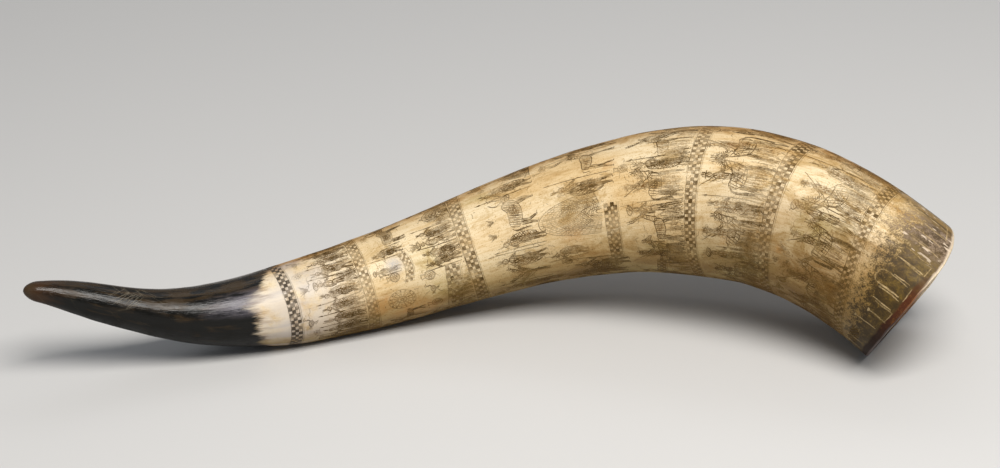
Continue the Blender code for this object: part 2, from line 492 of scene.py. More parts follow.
@figure(7.6, 25.0)
def shieldBearer(art, rng):
    # a standing figure 23 mm tall behind a tall hatched shield, with a spear in its other hand
    stride = rng.uniform(0.8, 1.5)
    for side in (-1, 1):
        art.limb([(0.6 * side, 9.4), (0.7 * side + stride * 0.3, 4.9), (stride * side, 0.4)], 1.0)
        art.line([(stride * side, 0.3), (stride * side + 1.1, 0.1)])
    for strip in np.linspace(-1.4, 1.4, 8):
        art.line([(strip * 0.7, 11.6), (strip * 1.2, 7.4 + rng.uniform(-0.4, 0.4))], "fineMm")
    torso = [(-0.9, 11.2), (-1.7, 15.9), (-0.6, 17.3), (0.6, 17.3), (1.7, 15.9), (0.9, 11.2)]
    art.dressed(torso, rng.uniform(50, 110))
    art.head(0, 18.8, 1.05, 1.3, rng.uniform(0, 180))
    for plume in rng.uniform(-1.3, 1.3, 4):
        art.line([(plume * 0.4, 20.0), (plume, 22.4 + rng.uniform(-0.6, 0.8))], "fineMm", 0.9)
    hand = (-3.2, 15.2 + rng.uniform(-1, 1.5))
    art.limb([(-1.4, 16.0), (-2.7, 13.6), hand], 0.6)
    tilt = rng.uniform(-0.7, 0.7)
    art.line([(-3.2 - tilt, 1.0), (-3.2 + tilt, 23.2)], ink=0.9)
    art.fill([(-3.6 + tilt, 22.8), (-3.2 + tilt, 25.4), (-2.8 + tilt, 22.8)], 0.9)
    tall = rng.uniform(6.0, 7.4)
    shield = ring(1.9, 9.9, 2.1, tall, 22)
    art.shape(shield, (rng.uniform(20, 70), 0.55), (rng.uniform(100, 140), 0.8, 0.8))
    art.line([(1.9, 9.2 - tall), (1.9, 10.8 + tall)])
    art.stain(1.9, 9.9, 2.2, tall, 0.75)
    art.stain(-0.3, 14.5, 1.7, 4.5, 0.45)
    art.stain(0, 4.5, 2.0, 5.0, 0.42)


@figure(6.4, 22.0)
def walker(art, rng):
    # a slimmer figure 22 mm tall with a stick and a bundle on its head
    stride = rng.uniform(1.2, 2.2)
    for side in (-1, 1):
        art.limb([(0.4 * side, 9.6), (0.5 + stride * side * 0.5, 5.0), (stride * side, 0.4)], 0.9)
        art.line([(stride * side, 0.3), (stride * side + 1.0, 0.2)])
    art.shape([(-1.3, 6.8), (-1.0, 12.4), (1.0, 12.4), (1.7, 6.4)], (80, 0.5))
    art.dressed([(-0.9, 12.0), (-1.5, 15.8), (0, 16.9), (1.4, 15.8), (0.9, 12.0)], rng.uniform(50, 110))
    art.head(0.1, 18.1, 0.95, 1.2, rng.uniform(0, 180))
    art.shape(ring(0.1, 20.6, 2.2, 1.0, 16), (35, 0.5))
    art.limb([(1.3, 15.6), (2.7, 13.4), (3.2, 14.8)], 0.55)
    art.line(bend([(3.3, 0.2), (3.0, 8), (3.4, 12), (3.1, 17.4)]), ink=0.9)
    art.limb([(-1.3, 15.6), (-2.0, 12.8), (-1.6, 10.6)], 0.55)
    art.stain(0, 11.0, 1.8, 6.5, 0.5)
    art.stain(0.1, 19.8, 2.2, 1.8, 0.45)


def beastLegs(art, hips, top, rng, thick):
    # a bent leg and a short hoof for each hip, whose knee and foot are measured from it
    for hip, knee, foot in hips:
        sway = rng.uniform(-0.5, 0.5)
        art.limb([(hip, top), (hip + knee, top * 0.52), (hip + foot + sway, 0.5)], thick)
        art.line([(hip + foot + sway - 0.3, 0.2), (hip + foot + sway + 0.7, 0.2)])


@figure(20.5, 27.0)
def rider(art, rng):
    # a rider on a walking horse, 28 mm tall and 21 mm long
    body = bend([(-6.4, 12.4), (-6.2, 15.8), (-2.5, 15.0), (1.0, 14.6), (5.0, 16.2), (7.0, 14.0), (5.6, 10.2),
                 (0.5, 9.4), (-4.6, 9.6), (-6.4, 12.4)], 27)
    art.shape(body, (rng.uniform(55, 80), 0.8), (rng.uniform(-10, 15), 1.3, 0.7))
    art.shape([(3.9, 15.2), (6.7, 21.0), (8.4, 20.6), (7.0, 13.0)], (25, 0.8))
    art.dressed([(6.8, 21.3), (8.6, 22.0), (11.7, 18.7), (11.0, 17.7), (8.5, 19.6)], 60, 0.4)
    for ear in ([(7.3, 21.6), (7.1, 23.3)], [(8.1, 21.9), (8.4, 23.4)]):
        art.line(ear)
    for share in np.linspace(0, 1, 9):
        art.line([(3.9 + 2.8 * share, 15.6 + 5.4 * share), (2.9 + 2.8 * share, 15.9 + 5.6 * share)], "fineMm")
    beastLegs(art, ((5.6, 0.7, 0.2), (4.2, 1.9, 2.4), (-4.2, -0.9, 0.2), (-5.4, -0.6, -1.8)), 11.0, rng, 1.0)
    for strand in np.linspace(0, 1.2, 5):
        art.line(bend([(-6.3, 14.4), (-8.4, 14.0), (-8.8 + strand, 9.0), (-8.2 + strand, 4.6)]), "fineMm")
    art.shape([(-2.2, 15.1), (-2.4, 11.6), (1.3, 11.3), (1.8, 14.9)], (-45, 0.5))
    art.limb([(-0.3, 15.2), (1.7, 12.0), (0.9, 8.4), (2.1, 7.9)], 1.1)
    torso = [(-1.5, 14.8), (-1.7, 20.2), (-0.6, 21.9), (1.0, 21.6), (1.5, 19.8), (1.1, 14.8)]
    art.dressed(torso, rng.uniform(50, 110), 0.8)
    art.head(0.2, 23.3, 1.1, 1.3, rng.uniform(0, 180))
    art.line([(-1.9, 24.5), (2.3, 24.4)], "boldMm")
    art.dressed([(-1.0, 24.6), (-0.7, 26.1), (1.1, 26.0), (1.3, 24.6)], 80, 0.8)
    art.limb([(1.1, 20.2), (3.0, 17.7), (4.9, 18.4)], 0.8)
    art.line([(4.9, 18.4), (9.8, 18.9)], "fineMm")
    lean = rng.uniform(-1, 1)
    art.line([(-4.6 + lean, 26.6), (3.4 - lean, 15.6)])
    art.line([(-1.4, 19.6), (-3.0 + lean * 0.5, 22.4)], "boldMm", 0.9)
    for strip in np.linspace(-5.6, 5.4, 12) + rng.uniform(-0.3, 0.3, 12):
        art.line([(strip, 9.4), (strip + rng.uniform(-0.7, 0.7), rng.uniform(0.6, 4.5))], "fineMm", 0.6)
    art.stain(0.3, 12.6, 6.8, 3.1, 0.36)
    art.stain(-0.1, 18.2, 2.2, 4.2, 0.95)
    art.stain(7.6, 18.6, 2.4, 3.4, 0.4)
    art.stain(0, 5.4, 6.8, 5.6, 0.42)


@figure(18.5, 19.0)
def ox(art, rng):
    # a long-horned ox, 17 mm tall at the horns and 19 mm long
    body = bend([(-6.8, 8.8), (-6.8, 12.6), (-2.5, 12.2), (1.2, 11.8), (3.4, 14.2), (6.2, 12.8), (6.6, 8.6),
                 (3.0, 5.9), (-4.5, 6.0), (-6.8, 8.8)], 27)
    art.outline(body, "fineMm", 0.85)
    patch = ring(rng.uniform(-3, 2), 9.2, 2.9, 2.2, 16)
    art.hatch(body, rng.uniform(50, 100), 0.46)
    art.hatch(patch, rng.uniform(-40, 0), 0.42)
    art.stain(float(patch[:, 0].mean()), 9.2, 3.0, 2.3, 0.75)
    art.dressed([(6.2, 12.6), (8.2, 13.4), (10.4, 10.4), (9.4, 9.2), (6.8, 10.0)], 30)
    for side in (0, 1):
        root, tip = (7.4 + side, 13.2), (7.2 + side * 1.6, 18.8)
        art.line(bend([root, (5.6 + side * 2.6, 14.6), (5.4 + side * 4.2, 16.8), tip]), "boldMm")
    beastLegs(art, ((5.4, 0.3, -0.2), (3.8, 0.9, 1.0), (-4.4, -0.6, 0.2), (-5.8, -0.4, -0.8)), 7.2, rng, 1.1)
    for strand in (0, 0.4):
        art.line(bend([(-6.7, 12.0), (-8.2, 11.4), (-8.0 + strand, 7.0), (-8.3 + strand, 3.6)]), "fineMm")
    art.stain(0, 9.3, 7.0, 3.6, 0.5)
    art.stain(8.4, 11.4, 2.0, 2.2, 0.4)


@figure(15.5, 25.0)
def antelope(art, rng):
    # a slender beast with back-swept ringed horns
    body = bend([(-5.2, 10.2), (-5.0, 13.0), (-1.5, 12.4), (2.5, 13.4), (5.0, 13.2), (5.0, 9.8), (1.5, 8.4),
                 (-3.0, 8.6), (-5.2, 10.2)], 24)
    art.shape(body, (rng.uniform(60, 110), 0.55))
    art.shape([(3.2, 13.0), (5.6, 18.2), (7.0, 17.6), (5.2, 11.6)], (15, 0.6))
    art.dressed([(5.5, 18.4), (7.0, 18.9), (9.4, 16.8), (8.6, 16.0), (6.8, 17.2)], 20)
    for side in (0, 0.9):
        art.line(bend([(6.0 + side, 18.7), (4.8 + side, 21.0), (3.4 + side, 22.4), (3.0 + side, 25.2)]))
    for share in np.linspace(0.2, 0.9, 6):
        x, y = 5.4 - 2.2 * share, 19.0 + 5.4 * share
        art.line([(x, y), (6.9 - 2.2 * share, 19.3 + 5.4 * share)], "fineMm", 0.8)
    beastLegs(art, ((4.4, 0.5, 0.1), (3.2, 1.7, 2.2), (-3.6, -0.9, -0.2), (-4.6, -0.7, -2.0)), 9.4, rng, 0.8)
    art.line(bend([(-5.1, 12.2), (-6.2, 12.6), (-6.6, 11.0), (-6.3, 9.4)]))
    art.stain(0, 10.8, 5.3, 2.6, 0.6)
    art.stain(5.4, 15.4, 1.6, 3.4, 0.35)


@figure(14.5, 13.5)
def hut(art, rng):
    # a round hut: nested arches, slanting thatch and a dark doorway
    for size in np.linspace(1, 0.34, 6):
        art.line(ring(0, 0.2, 6.6 * size, 11.2 * size, 18, 0, 180), "strokeMm" if size > 0.9 else "fineMm")
    for turn in np.radians(np.linspace(8, 172, 25)):
        way = np.array((6.6 * np.cos(turn), 11.2 * np.sin(turn)))
        art.line([way * rng.uniform(0.4, 0.6), way * 0.98], "fineMm", 0.85)
    art.fill(ring(0, 0.3, 1.5, 3.6, 12, 0, 180), 0.9)
    art.line([(-7.4, 0.2), (7.4, 0.2)])
    art.line([(-0.4, 11.4), (0.2, 13.2), (0.9, 11.3)])
    art.stain(0, 4.6, 5.6, 5.6, 0.5)


@figure(9.5, 19.0)
def tree(art, rng):
    # a forked tree with leaf dashes along every branch
    art.limb([(0, 0), (0.4, 6), (-0.2, 12)], 1.0)
    for index, height in enumerate(np.linspace(6, 13.5, 7)):
        side = 1 if index % 2 else -1
        tip = np.array((side * rng.uniform(3.0, 5.2), height + rng.uniform(3.5, 6.5)))
        root = np.array((0.2, height))
        art.line(bend([root, (root + tip) / 2 + (side * 0.8, -0.8), tip]))
        for share in np.linspace(0.3, 1, 6):
            spot = root + (tip - root) * share
            art.line([spot, spot + (side * 1.3, 0.3)], "fineMm")
            art.line([spot, spot + (-side * 0.3, 1.4)], "fineMm")
    art.stain(0, 13.5, 4.6, 5.0, 0.4)


@figure(9.5, 11.0)
def bird(art, rng):
    # a walking bird 11 mm tall
    art.shape(ring(0, 5.2, 2.8, 1.8, 18), (rng.uniform(20, 50), 0.5))
    art.line(bend([(2.3, 6.0), (3.6, 7.0), (3.1, 9.0), (3.4, 10.0)]), "boldMm")
    art.outline(ring(3.6, 10.3, 0.7, 0.6, 10))
    art.line([(4.2, 10.3), (5.6, 9.9)])
    for plume in (-0.5, 0.2, 0.9):
        art.line([(-2.5, 5.4), (-5.2, 5.6 + plume * 1.6)], "fineMm")
    for leg in ([(0.3, 3.5), (0.7, 0.2), (1.7, 0.1)], [(-0.5, 3.5), (-0.4, 0.2), (0.5, 0.1)]):
        art.line(leg)
    art.stain(0, 5.2, 2.9, 1.9, 0.6)


@figure(10.5, 12.0)
def rosette(art, rng):
    # rings with a dotted rim and spokes
    for size, share in ((4.6, 0.8), (3.5, 0.6), (1.5, 0.8)):
        art.outline(ring(0, 6, size, size * 1.25, 26), "fineMm", share)
    for turn in np.radians(np.arange(0, 360, 24)):
        way = np.array((np.cos(turn), 1.25 * np.sin(turn)))
        art.line([(0, 6) + way * 1.5, (0, 6) + way * 3.5], "fineMm", 0.7)
        art.fill(ring(4.05 * way[0], 6 + 4.05 * way[1], 0.4, 0.4, 8), 0.6)
    art.fill(ring(0, 6, 0.8, 1.0, 10), 0.6)
    art.stain(0, 6, 4.2, 5.2, 0.35)


@figure(26.0, 34.5)
def wovenDome(art, rng):
    # a large woven granary: nested curves crossed by ribs
    wide, tall = 12.5, 34.0
    for size in np.linspace(1, 0.1, 15):
        art.line(ring(0, 0.2, wide * size, tall * size, 30, 4, 176), "strokeMm" if size > 0.97 else "fineMm",
                 rng.uniform(0.55, 0.95))
    for turn in np.radians(np.linspace(6, 174, 30)):
        way = np.array((wide * np.cos(turn), tall * np.sin(turn)))
        art.line([way * rng.uniform(0.3, 0.6), way * 0.98], "fineMm", rng.uniform(0.4, 0.9))
    art.hatch(ring(-3.0, 14.0, 5.6, 9.0), 38, 0.6, 0.8)
    art.hatch(ring(3.5, 12.0, 5.5, 10.0), -25, 0.62, 0.8)
    art.stain(0, 12, 10.5, 17, 0.14)
    art.stain(-4, 18, 5, 10, 0.2)


@figure(5.0, 5.0)
def tuft(art, rng):
    # a fan of grass blades
    for blade in np.linspace(-1, 1, 7):
        tip = (blade * 2.6, 3.4 + rng.uniform(0, 1.6))
        art.line(bend([(blade * 0.5, 0), (blade * 1.2, 2.2), tip]), "fineMm")
    art.stain(0, 1.6, 1.8, 2.0, 0.3)


@figure(6.0, 6.2)
def star(art, rng):
    # rays round a small disc
    art.fill(ring(0, 3, 0.7, 0.7, 10), 0.9)
    for turn in np.radians(np.arange(0, 360, 36) + rng.uniform(0, 36)):
        way = np.array((np.cos(turn), np.sin(turn)))
        art.line([(0, 3) + way * 1.1, (0, 3) + way * rng.uniform(2.2, 3.1)], "fineMm")
    art.stain(0, 3, 2.4, 2.4, 0.3)


@figure(5.8, 8.2)
def pot(art, rng):
    # a round pot with a neck and a woven belly
    art.shape(ring(0, 3.0, 2.7, 2.9), (35, 0.6), (-35, 0.7, 0.7))
    for side in (-1, 1):
        art.line([(1.1 * side, 5.7), (0.9 * side, 7.2), (1.6 * side, 8.0)])
    art.line([(-1.6, 8.0), (1.6, 8.0)])
    art.stain(0, 3.4, 2.8, 3.2, 0.6)


rowNames = ("piece", "ground", "aboveMm", "tallMm", "gap", "slim", "uneven", "order")

rowForm = [dict(zip(rowNames, values)) for values in (
    # rows of figures: the piece, the band they stand on or millimetres from the mouth, how far above it and
    # how tall, the gaps in shares of a figure's width, how slim the figures are drawn, how much each one's
    # ground may differ in millimetres, and what follows what
    ("tip", "second", 3.4, 28, -0.04, 0.86, 0.3,
     "shieldBearer shieldBearer walker shieldBearer shieldBearer"),
    ("tip", "third", 3.8, 24, -0.10, 0.9, 0.5,
     "ox shieldBearer shieldBearer walker shieldBearer hut walker"),
    ("tip", "third", 32.0, 20, 0.0, 0.9, 2.0,
     "rosette shieldBearer ox tree shieldBearer bird antelope"),
    ("middle", "fourth", 3.6, 33, -0.20, 0.84, 0.6,
     "antelope walker rider shieldBearer antelope tree rider"),
    ("middle", 162.0, 0, 38, -0.04, 0.9, 2.5,
     "shieldBearer shieldBearer antelope shieldBearer walker shieldBearer"),
    ("middle", 204.0, 0, 34, 0.0, 0.9, 2.5,
     "shieldBearer shieldBearer ox shieldBearer hut shieldBearer tree"),
    ("mouth", "fifth", 3.6, 36, -0.32, 0.80, 0.5, "rider rider walker rider shieldBearer"),
    ("mouth", "sixth", 3.4, 37, -0.34, 0.82, 0.5, "rider shieldBearer rider rider walker"),
)]

domeForm = (
    # granaries that stand alone: millimetres from the mouth, degrees round, size, share of its width
    (170.0, -1.0, 1.06, 0.80),
    (158.0, 168.0, 0.95, 0.85),
)

fillerForm = (
    # the bare places between them: from and to in millimetres, how many tries, and what may stand there
    ("tip", 310, 344, 60, "tuft star bird"),
    ("tip", 250, 301, 420, "ox walker pot star tuft bird"),
    ("middle", 124, 242, 900, "shieldBearer antelope ox walker pot star bird tuft rosette tree"),
    ("mouth", 78, 114, 260, "bird star tuft pot walker"),
    ("mouth", 33, 72, 260, "bird star tuft pot walker"),
)

strayForm = {
    # stray marks: from and to in millimetres, how many short ticks and how many curling hairlines
    "tip": (250, 345, 650, 650),
    "middle": (124, 243, 1500, 1300),
    "mouth": (33, 114, 1300, 1300),
}

layoutForm = {
    "seed": 1879,
    "mostSize": 1.3,            # figures are drawn up to this much larger,
    "mostSlimSize": 1.75,       # and those narrower than this width in millimetres up to this much
    "slimMm": 9,
    "mayOverlap": 0.16,         # share of a figure's place that may be taken already,
    "mayTouch": 0.10,           # and of a filler's
    "facingTip": 0.75,
    "stepDeg": 3,
    "groundShare": 0.7,         # how much of a ground line is cut
    "tufts": 150,
    "clumps": 46,               # of strokes, round the widest part of the horn, and fewer where it is thinner
    "nearShare": 0.72,          # ticks that keep to the figures
    "curlStepMm": 0.55,
    "curlWidthMm": 0.25,
}


class Paper:
    # which places are taken: a row for each millimetre along the horn, a column for each degree round it
    def __init__(self):
        self.at = np.arange(hornForm["stationMm"][-1] + 1)
        self.taken = np.zeros((len(self.at), 360), dtype=bool)
        turn = np.radians(np.arange(360) - 180)[None, :]
        for form in checks:
            thick = form["rows"] * form["cell"] / 2 + 1.2
            near = np.abs(self.at[:, None] - checkPlace(form, turn)) < thick
            self.taken |= near & withinCheck(form, turn, 2.5)

    def footprint(self, at, around, wide, tall):
        # wide and tall in metres, standing at a place; the columns wrap round the horn
        rows = slice(int(at / mm), int((at + tall) / mm) + 1)
        half = np.degrees(wide / 2 / outerRadius(at + tall / 2))
        columns = np.arange(np.degrees(around) - half, np.degrees(around) + half).astype(int)
        return rows, (columns + 180) % 360

    def takenShare(self, at, around, wide, tall):
        rows, columns = self.footprint(at, around, wide, tall)
        return self.taken[rows][:, columns].mean()

    def take(self, at, around, wide, tall):
        rows, columns = self.footprint(at, around, wide, tall)
        self.taken[rows, columns[:, None]] = True


class Picture:
    # what is laid on the horn: strokes as (at, around) in metres and radians, by the piece they belong to
    def __init__(self):
        self.lines = {name: [] for name in strayForm}
        self.fills = {name: [] for name in strayForm}
        self.stains = []

    def stroke(self, piece, points, ink, width=lineForm["fineMm"]):
        self.lines[piece].append((points, width, ink))

    def add(self, piece, art, groundAt, around, size, across, rng, strength=1.0):
        # x turns into an angle by the radius where the mark lies, and y is added along the horn
        def lay(points):
            at = groundAt + points[:, 1] * size * mm
            return beside(at, around + across * points[:, 0] * size * mm / outerRadius(at))

        for points, width, ink in art.lines:
            laid = lay(points)
            self.stroke(piece, laid, ink * rng.uniform(0.75, 1.05) * strength, width)
            if rng.random() < lineForm["againShare"]:
                shift = rng.normal(0, lineForm["againMm"] * mm, 2) / (1, outerRadius(laid[0, 0]))
                self.stroke(piece, laid + shift, ink * rng.uniform(0.4, 0.85) * strength)
        for points, ink in art.fills:
            self.fills[piece].append((lay(points), ink * strength))
        for x, y, wide, tall, amount in art.stains:
            at, turn = lay(np.array([(x, y)]))[0]
            spread = wide * size * abs(across) * mm
            self.stains.append((at, turn, spread, tall * size * mm, amount * strength))


def groundLine(row, around):
    # how far along the horn a row of figures stands: its band or its own middle, plus how far above it
    ground = row["ground"]
    middle = checkPlace(bandForm[ground], around) if isinstance(ground, str) else ground
    return (middle + row["aboveMm"]) * mm


def fillRow(picture, paper, row, rng):
    # figures side by side from the back round to the back again, past what is taken already
    form, order = layoutForm, row["order"].split()
    turn, index = -np.pi, rng.integers(0, 3)
    while turn < np.pi:
        for chosen in (order[index % len(order)], "walker"):
            draw, wide, tall = figureKinds[chosen]
            most = form["mostSlimSize"] if wide < form["slimMm"] else form["mostSize"]
            size = min(row["tallMm"] / tall * rng.uniform(0.9, 1.0), most)
            slim = row["slim"] * rng.uniform(0.94, 1.04)
            ground = groundLine(row, turn) + rng.uniform(-row["uneven"], row["uneven"]) * mm
            width, height = wide * size * slim * mm, tall * size * mm
            around = turn + width / 2 / outerRadius(ground + height / 2)
            if paper.takenShare(ground, around, width * 0.9, height * 0.9) < form["mayOverlap"]:
                across = slim * (1 if rng.random() < form["facingTip"] else -1)
                picture.add(row["piece"], Drawing(draw, rng), ground, around, size, across, rng)
                paper.take(ground, around, width * 0.86, height * 0.9)
                turn += 2 * (around - turn) * (1 + row["gap"])
                index += 1
                break
        else:
            turn += np.radians(form["stepDeg"])


def fillGaps(picture, paper, zone, rng):
    # small things at random places that are still bare
    piece, fromMm, toMm, tries, kinds = zone
    kinds = kinds.split()
    for attempt in range(tries):
        draw, wide, tall = figureKinds[kinds[rng.integers(0, len(kinds))]]
        size = rng.uniform(0.65, 1.05)
        width, height = wide * size * 0.9 * mm, tall * size * mm
        at = rng.uniform(fromMm, max(fromMm + 1, toMm - tall * size)) * mm
        around = rng.uniform(-np.pi, np.pi)
        if paper.takenShare(at, around, width, height) < layoutForm["mayTouch"]:
            picture.add(piece, Drawing(draw, rng), at, around, size, rng.choice((-0.9, 0.9)), rng, 0.7)
            paper.take(at, around, width * 0.9, height)


def grassAndGround(picture, row, rng):
    # a scratched ground line that waves by a quarter of a millimetre, and short tufts along it
    around = np.radians(np.linspace(-180, 180, 200))
    ground = np.array([groundLine(row, turn) for turn in around])
    wave = 0.25 * mm * np.sin(7 * around)
    for start in range(0, 190, 10):
        if rng.random() < layoutForm["groundShare"]:
            part = slice(start, start + 11)
            line = beside(ground[part] - 0.3 * mm + wave[part], around[part])
            picture.stroke(row["piece"], line, rng.uniform(0.4, 0.8))
    for turn in rng.uniform(-np.pi, np.pi, layoutForm["tufts"]):
        at = groundLine(row, turn)
        long = rng.uniform(0.7, 2.2) * mm
        line = np.array([(at, turn), (at + long, turn + rng.uniform(-0.02, 0.02))])
        picture.stroke(row["piece"], line, rng.uniform(0.5, 0.9))


def curtains(picture, row, rng):
    # clumps of long thin strokes that rise from the ground, as legs, robes and reeds
    widest = hornForm["radiusMm"][0] * mm
    clumps = int(layoutForm["clumps"] * outerRadius(groundLine(row, 0.0)) / widest)
    for middle in rng.uniform(-np.pi, np.pi, clumps):
        low = groundLine(row, middle)
        radius = outerRadius(low)
        wide = rng.uniform(2.0, 5.5) * mm
        for turn in middle + rng.uniform(-wide, wide, rng.integers(7, 15)) / radius:
            start = low + rng.uniform(0.2, 3.0) * mm
            long = rng.uniform(3.5, 11.0) * mm
            lean = rng.normal(0, 0.9) * mm / radius
            corners = (start, turn), (start + long / 2, turn + lean), (start + long, turn + lean * 0.4)
            points = np.array(corners)
            picture.stroke(row["piece"], points, rng.uniform(0.3, 0.75))
        picture.stains.append((low + 5 * mm, middle, wide * 1.3, 6 * mm, rng.uniform(0.15, 0.4)))


def nearStain(stains, spreadAt, spreadAround, rng):
    # a random place in or near one of the stains
    at, turn, wide, tall = stains[rng.integers(0, len(stains))][:4]
    at = at + rng.normal(0, spreadAt) * tall
    return at, turn + rng.normal(0, spreadAround) * wide / outerRadius(at)


def stainsBetween(picture, low, high):
    return [stain for stain in picture.stains if low * mm < stain[0] < high * mm]


def scatterTicks(picture, rng):
    # short stray cuts that gather round the figures, and finer ones anywhere
    for piece, (low, high, ticks, curls) in strayForm.items():
        stains = stainsBetween(picture, low, high)
        for tick in range(ticks):
            if rng.random() < layoutForm["nearShare"]:
                at, turn = nearStain(stains, 0.8, 0.8, rng)
            else:
                at, turn = rng.uniform(low, high) * mm, rng.uniform(-np.pi, np.pi)
            long, lean = rng.uniform(0.3, 1.9) * mm, rng.uniform(0, np.pi)
            end = (at + long * np.cos(lean), turn + long * np.sin(lean) / outerRadius(at))
            picture.stroke(piece, np.array([(at, turn), end]), rng.uniform(0.25, 0.8))


def scribbles(picture, rng):
    # hair-thin curling strokes near the figures: the heading turns by a changing amount at each short step
    long = layoutForm["curlStepMm"] * mm
    for piece, (low, high, ticks, curls) in strayForm.items():
        stains = stainsBetween(picture, low, high)
        for curl in range(curls):
            at, turn = nearStain(stains, 0.75, 0.85, rng)
            steps = rng.integers(5, 13)
            heading = rng.uniform(0, 2 * np.pi) + np.cumsum(rng.normal(0, 0.5, steps) + rng.normal(0, 0.35))
            walk = np.cumsum(beside(np.cos(heading), np.sin(heading) / outerRadius(at)) * long, 0)
            picture.stroke(piece, walk + (at, turn), rng.uniform(0.35, 0.85), layoutForm["curlWidthMm"])


def drawPicture():
    picture, paper = Picture(), Paper()
    rng = np.random.default_rng(layoutForm["seed"])
    draw, wide, tall = figureKinds["wovenDome"]
    for atMm, aroundDeg, size, slim in domeForm:
        at, around = atMm * mm, np.radians(aroundDeg)
        picture.add("middle", Drawing(draw, rng), at, around, size, slim, rng)
        paper.take(at, around, wide * size * slim * 1.06 * mm, tall * size * mm)
    for row in rowForm:
        fillRow(picture, paper, row, rng)
        if row["uneven"] < 1:   # the others stand free, without a ground of their own
            grassAndGround(picture, row, rng)
            curtains(picture, row, rng)
    for zone in fillerForm:
        fillGaps(picture, paper, zone, rng)
    scatterTicks(picture, rng)
    scribbles(picture, rng)
    return picture


picture = drawPicture()
print("picture drawn:", {name: len(lines) for name, lines in picture.lines.items()}, "strokes")

patchyForm = {
    # soft patches in the horn's colour: millimetres from the mouth, degrees round, half length, half width
    # and amount
    "cool": (
        (336, 32, 9, 5, 0.7), (353, -8, 5, 7, 0.5), (288, 10, 5, 4.5, 1.1), (341, 66, 8, 4, 0.5),
        (300, -168, 14, 9, 0.5), (214, 150, 12, 8, 0.4), (351, -30, 3, 6, 0.7), (338, 16, 5, 6, 0.7),
    ),
    "olive": (
        (263, -36, 13, 8, 0.8), (268, 6, 10, 8, 0.6), (44, -4, 9, 12, 0.6), (316, -50, 12, 7, 0.7),
        (141, -38, 8, 5, 0.8), (176, -62, 22, 7, 0.6), (56, -6, 14, 13, 0.9), (92, -44, 12, 9, 0.5),
        (233, 52, 10, 5, 0.5), (120, -160, 20, 12, 0.6), (60, 140, 16, 12, 0.6), (250, 170, 18, 10, 0.6),
    ),
    "rust": (
        (69, -28, 2.6, 2.0, 1.0), (103, -30, 6, 4, 0.5), (31, 44, 5, 3, 0.6), (282, -52, 14, 6, 0.9),
        (188, -18, 8, 5, 0.7), (300, -34, 9, 6, 0.7), (352, -28, 5, 5, 0.35), (352.5, -3, 3.2, 4.5, 0.6),
        (90, 165, 9, 6, 0.5),
    ),
}

stainForm = {
    "leastRadiusMm": 4,
    "core": (0.72, 0.15, 1.2),  # how dark, and where it begins and ends to fade, as shares of its size
    "halo": (0.20, 0.6, 2.4),
    "check": (0.26, 0.42, 0.66),
    "patch": (1.0, 0.1, 1.5),
}


def faded(name, away):
    # as dark as its name says up to the start, then a smooth slope to nothing at the end
    dark, start, end = stainForm[name]
    return dark * (1 - smoothStep(away, start, end))


def awayFrom(at, around, reach, spotAt, spotAround, long, wide):
    # how far a place is from the middle of an ellipse, in shares of its half length and half width
    return np.hypot((at - spotAt) / long, nearTurn(around - spotAround) * reach / wide)


def stainTone(at, around, reach):
    # the rubbed-in pigment that stays round the strokes: soft ellipses, the strongest one at each place
    tone = np.zeros(at.shape)
    for spotAt, spotAround, wide, tall, amount in picture.stains:
        away = awayFrom(at, around, reach, spotAt, spotAround, tall, wide)
        tone = np.maximum(tone, amount * np.maximum(faded("core", away), faded("halo", away)))
    for form in checks:
        away = np.abs(at - checkPlace(form, around) * mm) / (form["rows"] * form["cell"] * mm)
        tone = np.maximum(tone, form["wash"] * withinCheck(form, around) * faded("check", away))
    return tone


def patchTone(at, around, reach, patches):
    # the strongest of some soft ellipses at each place
    tone = np.zeros(at.shape)
    for atMm, aroundDeg, longMm, wideMm, amount in patches:
        away = awayFrom(at, around, reach, atMm * mm, np.radians(aroundDeg), longMm * mm, wideMm * mm)
        tone = np.maximum(tone, amount * faded("patch", away))
    return tone


def surfaceMarks(at, around, radius):
    # what the materials read at each vertex
    reach = np.maximum(outerRadius(at), stainForm["leastRadiusMm"] * mm)
    marks = {name: patchTone(at, around, reach, patches) for name, patches in patchyForm.items()}
    marks["straight"] = straightPlace(at, around, radius)
    marks["fromCut"] = fromCut(at, around)
    marks["tone"] = stainTone(at, around, reach)
    return marks


def gridQuads(rows, columns):
    # quads between each row and the next, and between each column and the next, round to the first again;
    # they face outwards where rows run from the tip to the mouth and columns from the front over the top
    row = np.arange(rows - 1)[:, None] * columns
    column = np.arange(columns)[None, :]
    following = (column + 1) % columns
    corners = beside(row + column, row + columns + column, row + columns + following, row + following)
    return corners.reshape(-1, 4)


def buildMesh(name, points, quads, triangles, uvQuads, uvTriangles, attributes):
    mesh = bpy.data.meshes.new(name)
    corners = np.concatenate([quads.ravel(), triangles.ravel()]).astype(np.int32)
    starts = np.concatenate([np.arange(len(quads)) * 4, len(quads) * 4 + np.arange(len(triangles)) * 3])
    mesh.vertices.add(len(points))
    mesh.vertices.foreach_set("co", points.astype(np.float32).ravel())
    mesh.loops.add(len(corners))
    mesh.loops.foreach_set("vertex_index", corners)
    mesh.polygons.add(len(starts))
    mesh.polygons.foreach_set("loop_start", starts.astype(np.int32))
    mesh.update(calc_edges=True)
    layer = mesh.uv_layers.new(name="OFBake")
    uv = np.concatenate([uvQuads.reshape(-1, 2), uvTriangles.reshape(-1, 2)])
    layer.data.foreach_set("uv", uv.astype(np.float32).ravel())
    for key, values in attributes.items():
        kind, part = ("FLOAT_VECTOR", "vector") if values.ndim == 2 else ("FLOAT", "value")
        layer = mesh.attributes.new(key, kind, "POINT")
        layer.data.foreach_set(part, values.astype(np.float32).ravel())
    mesh.polygons.foreach_set("use_smooth", np.full(len(starts), True))
    mesh.validate()
    return mesh


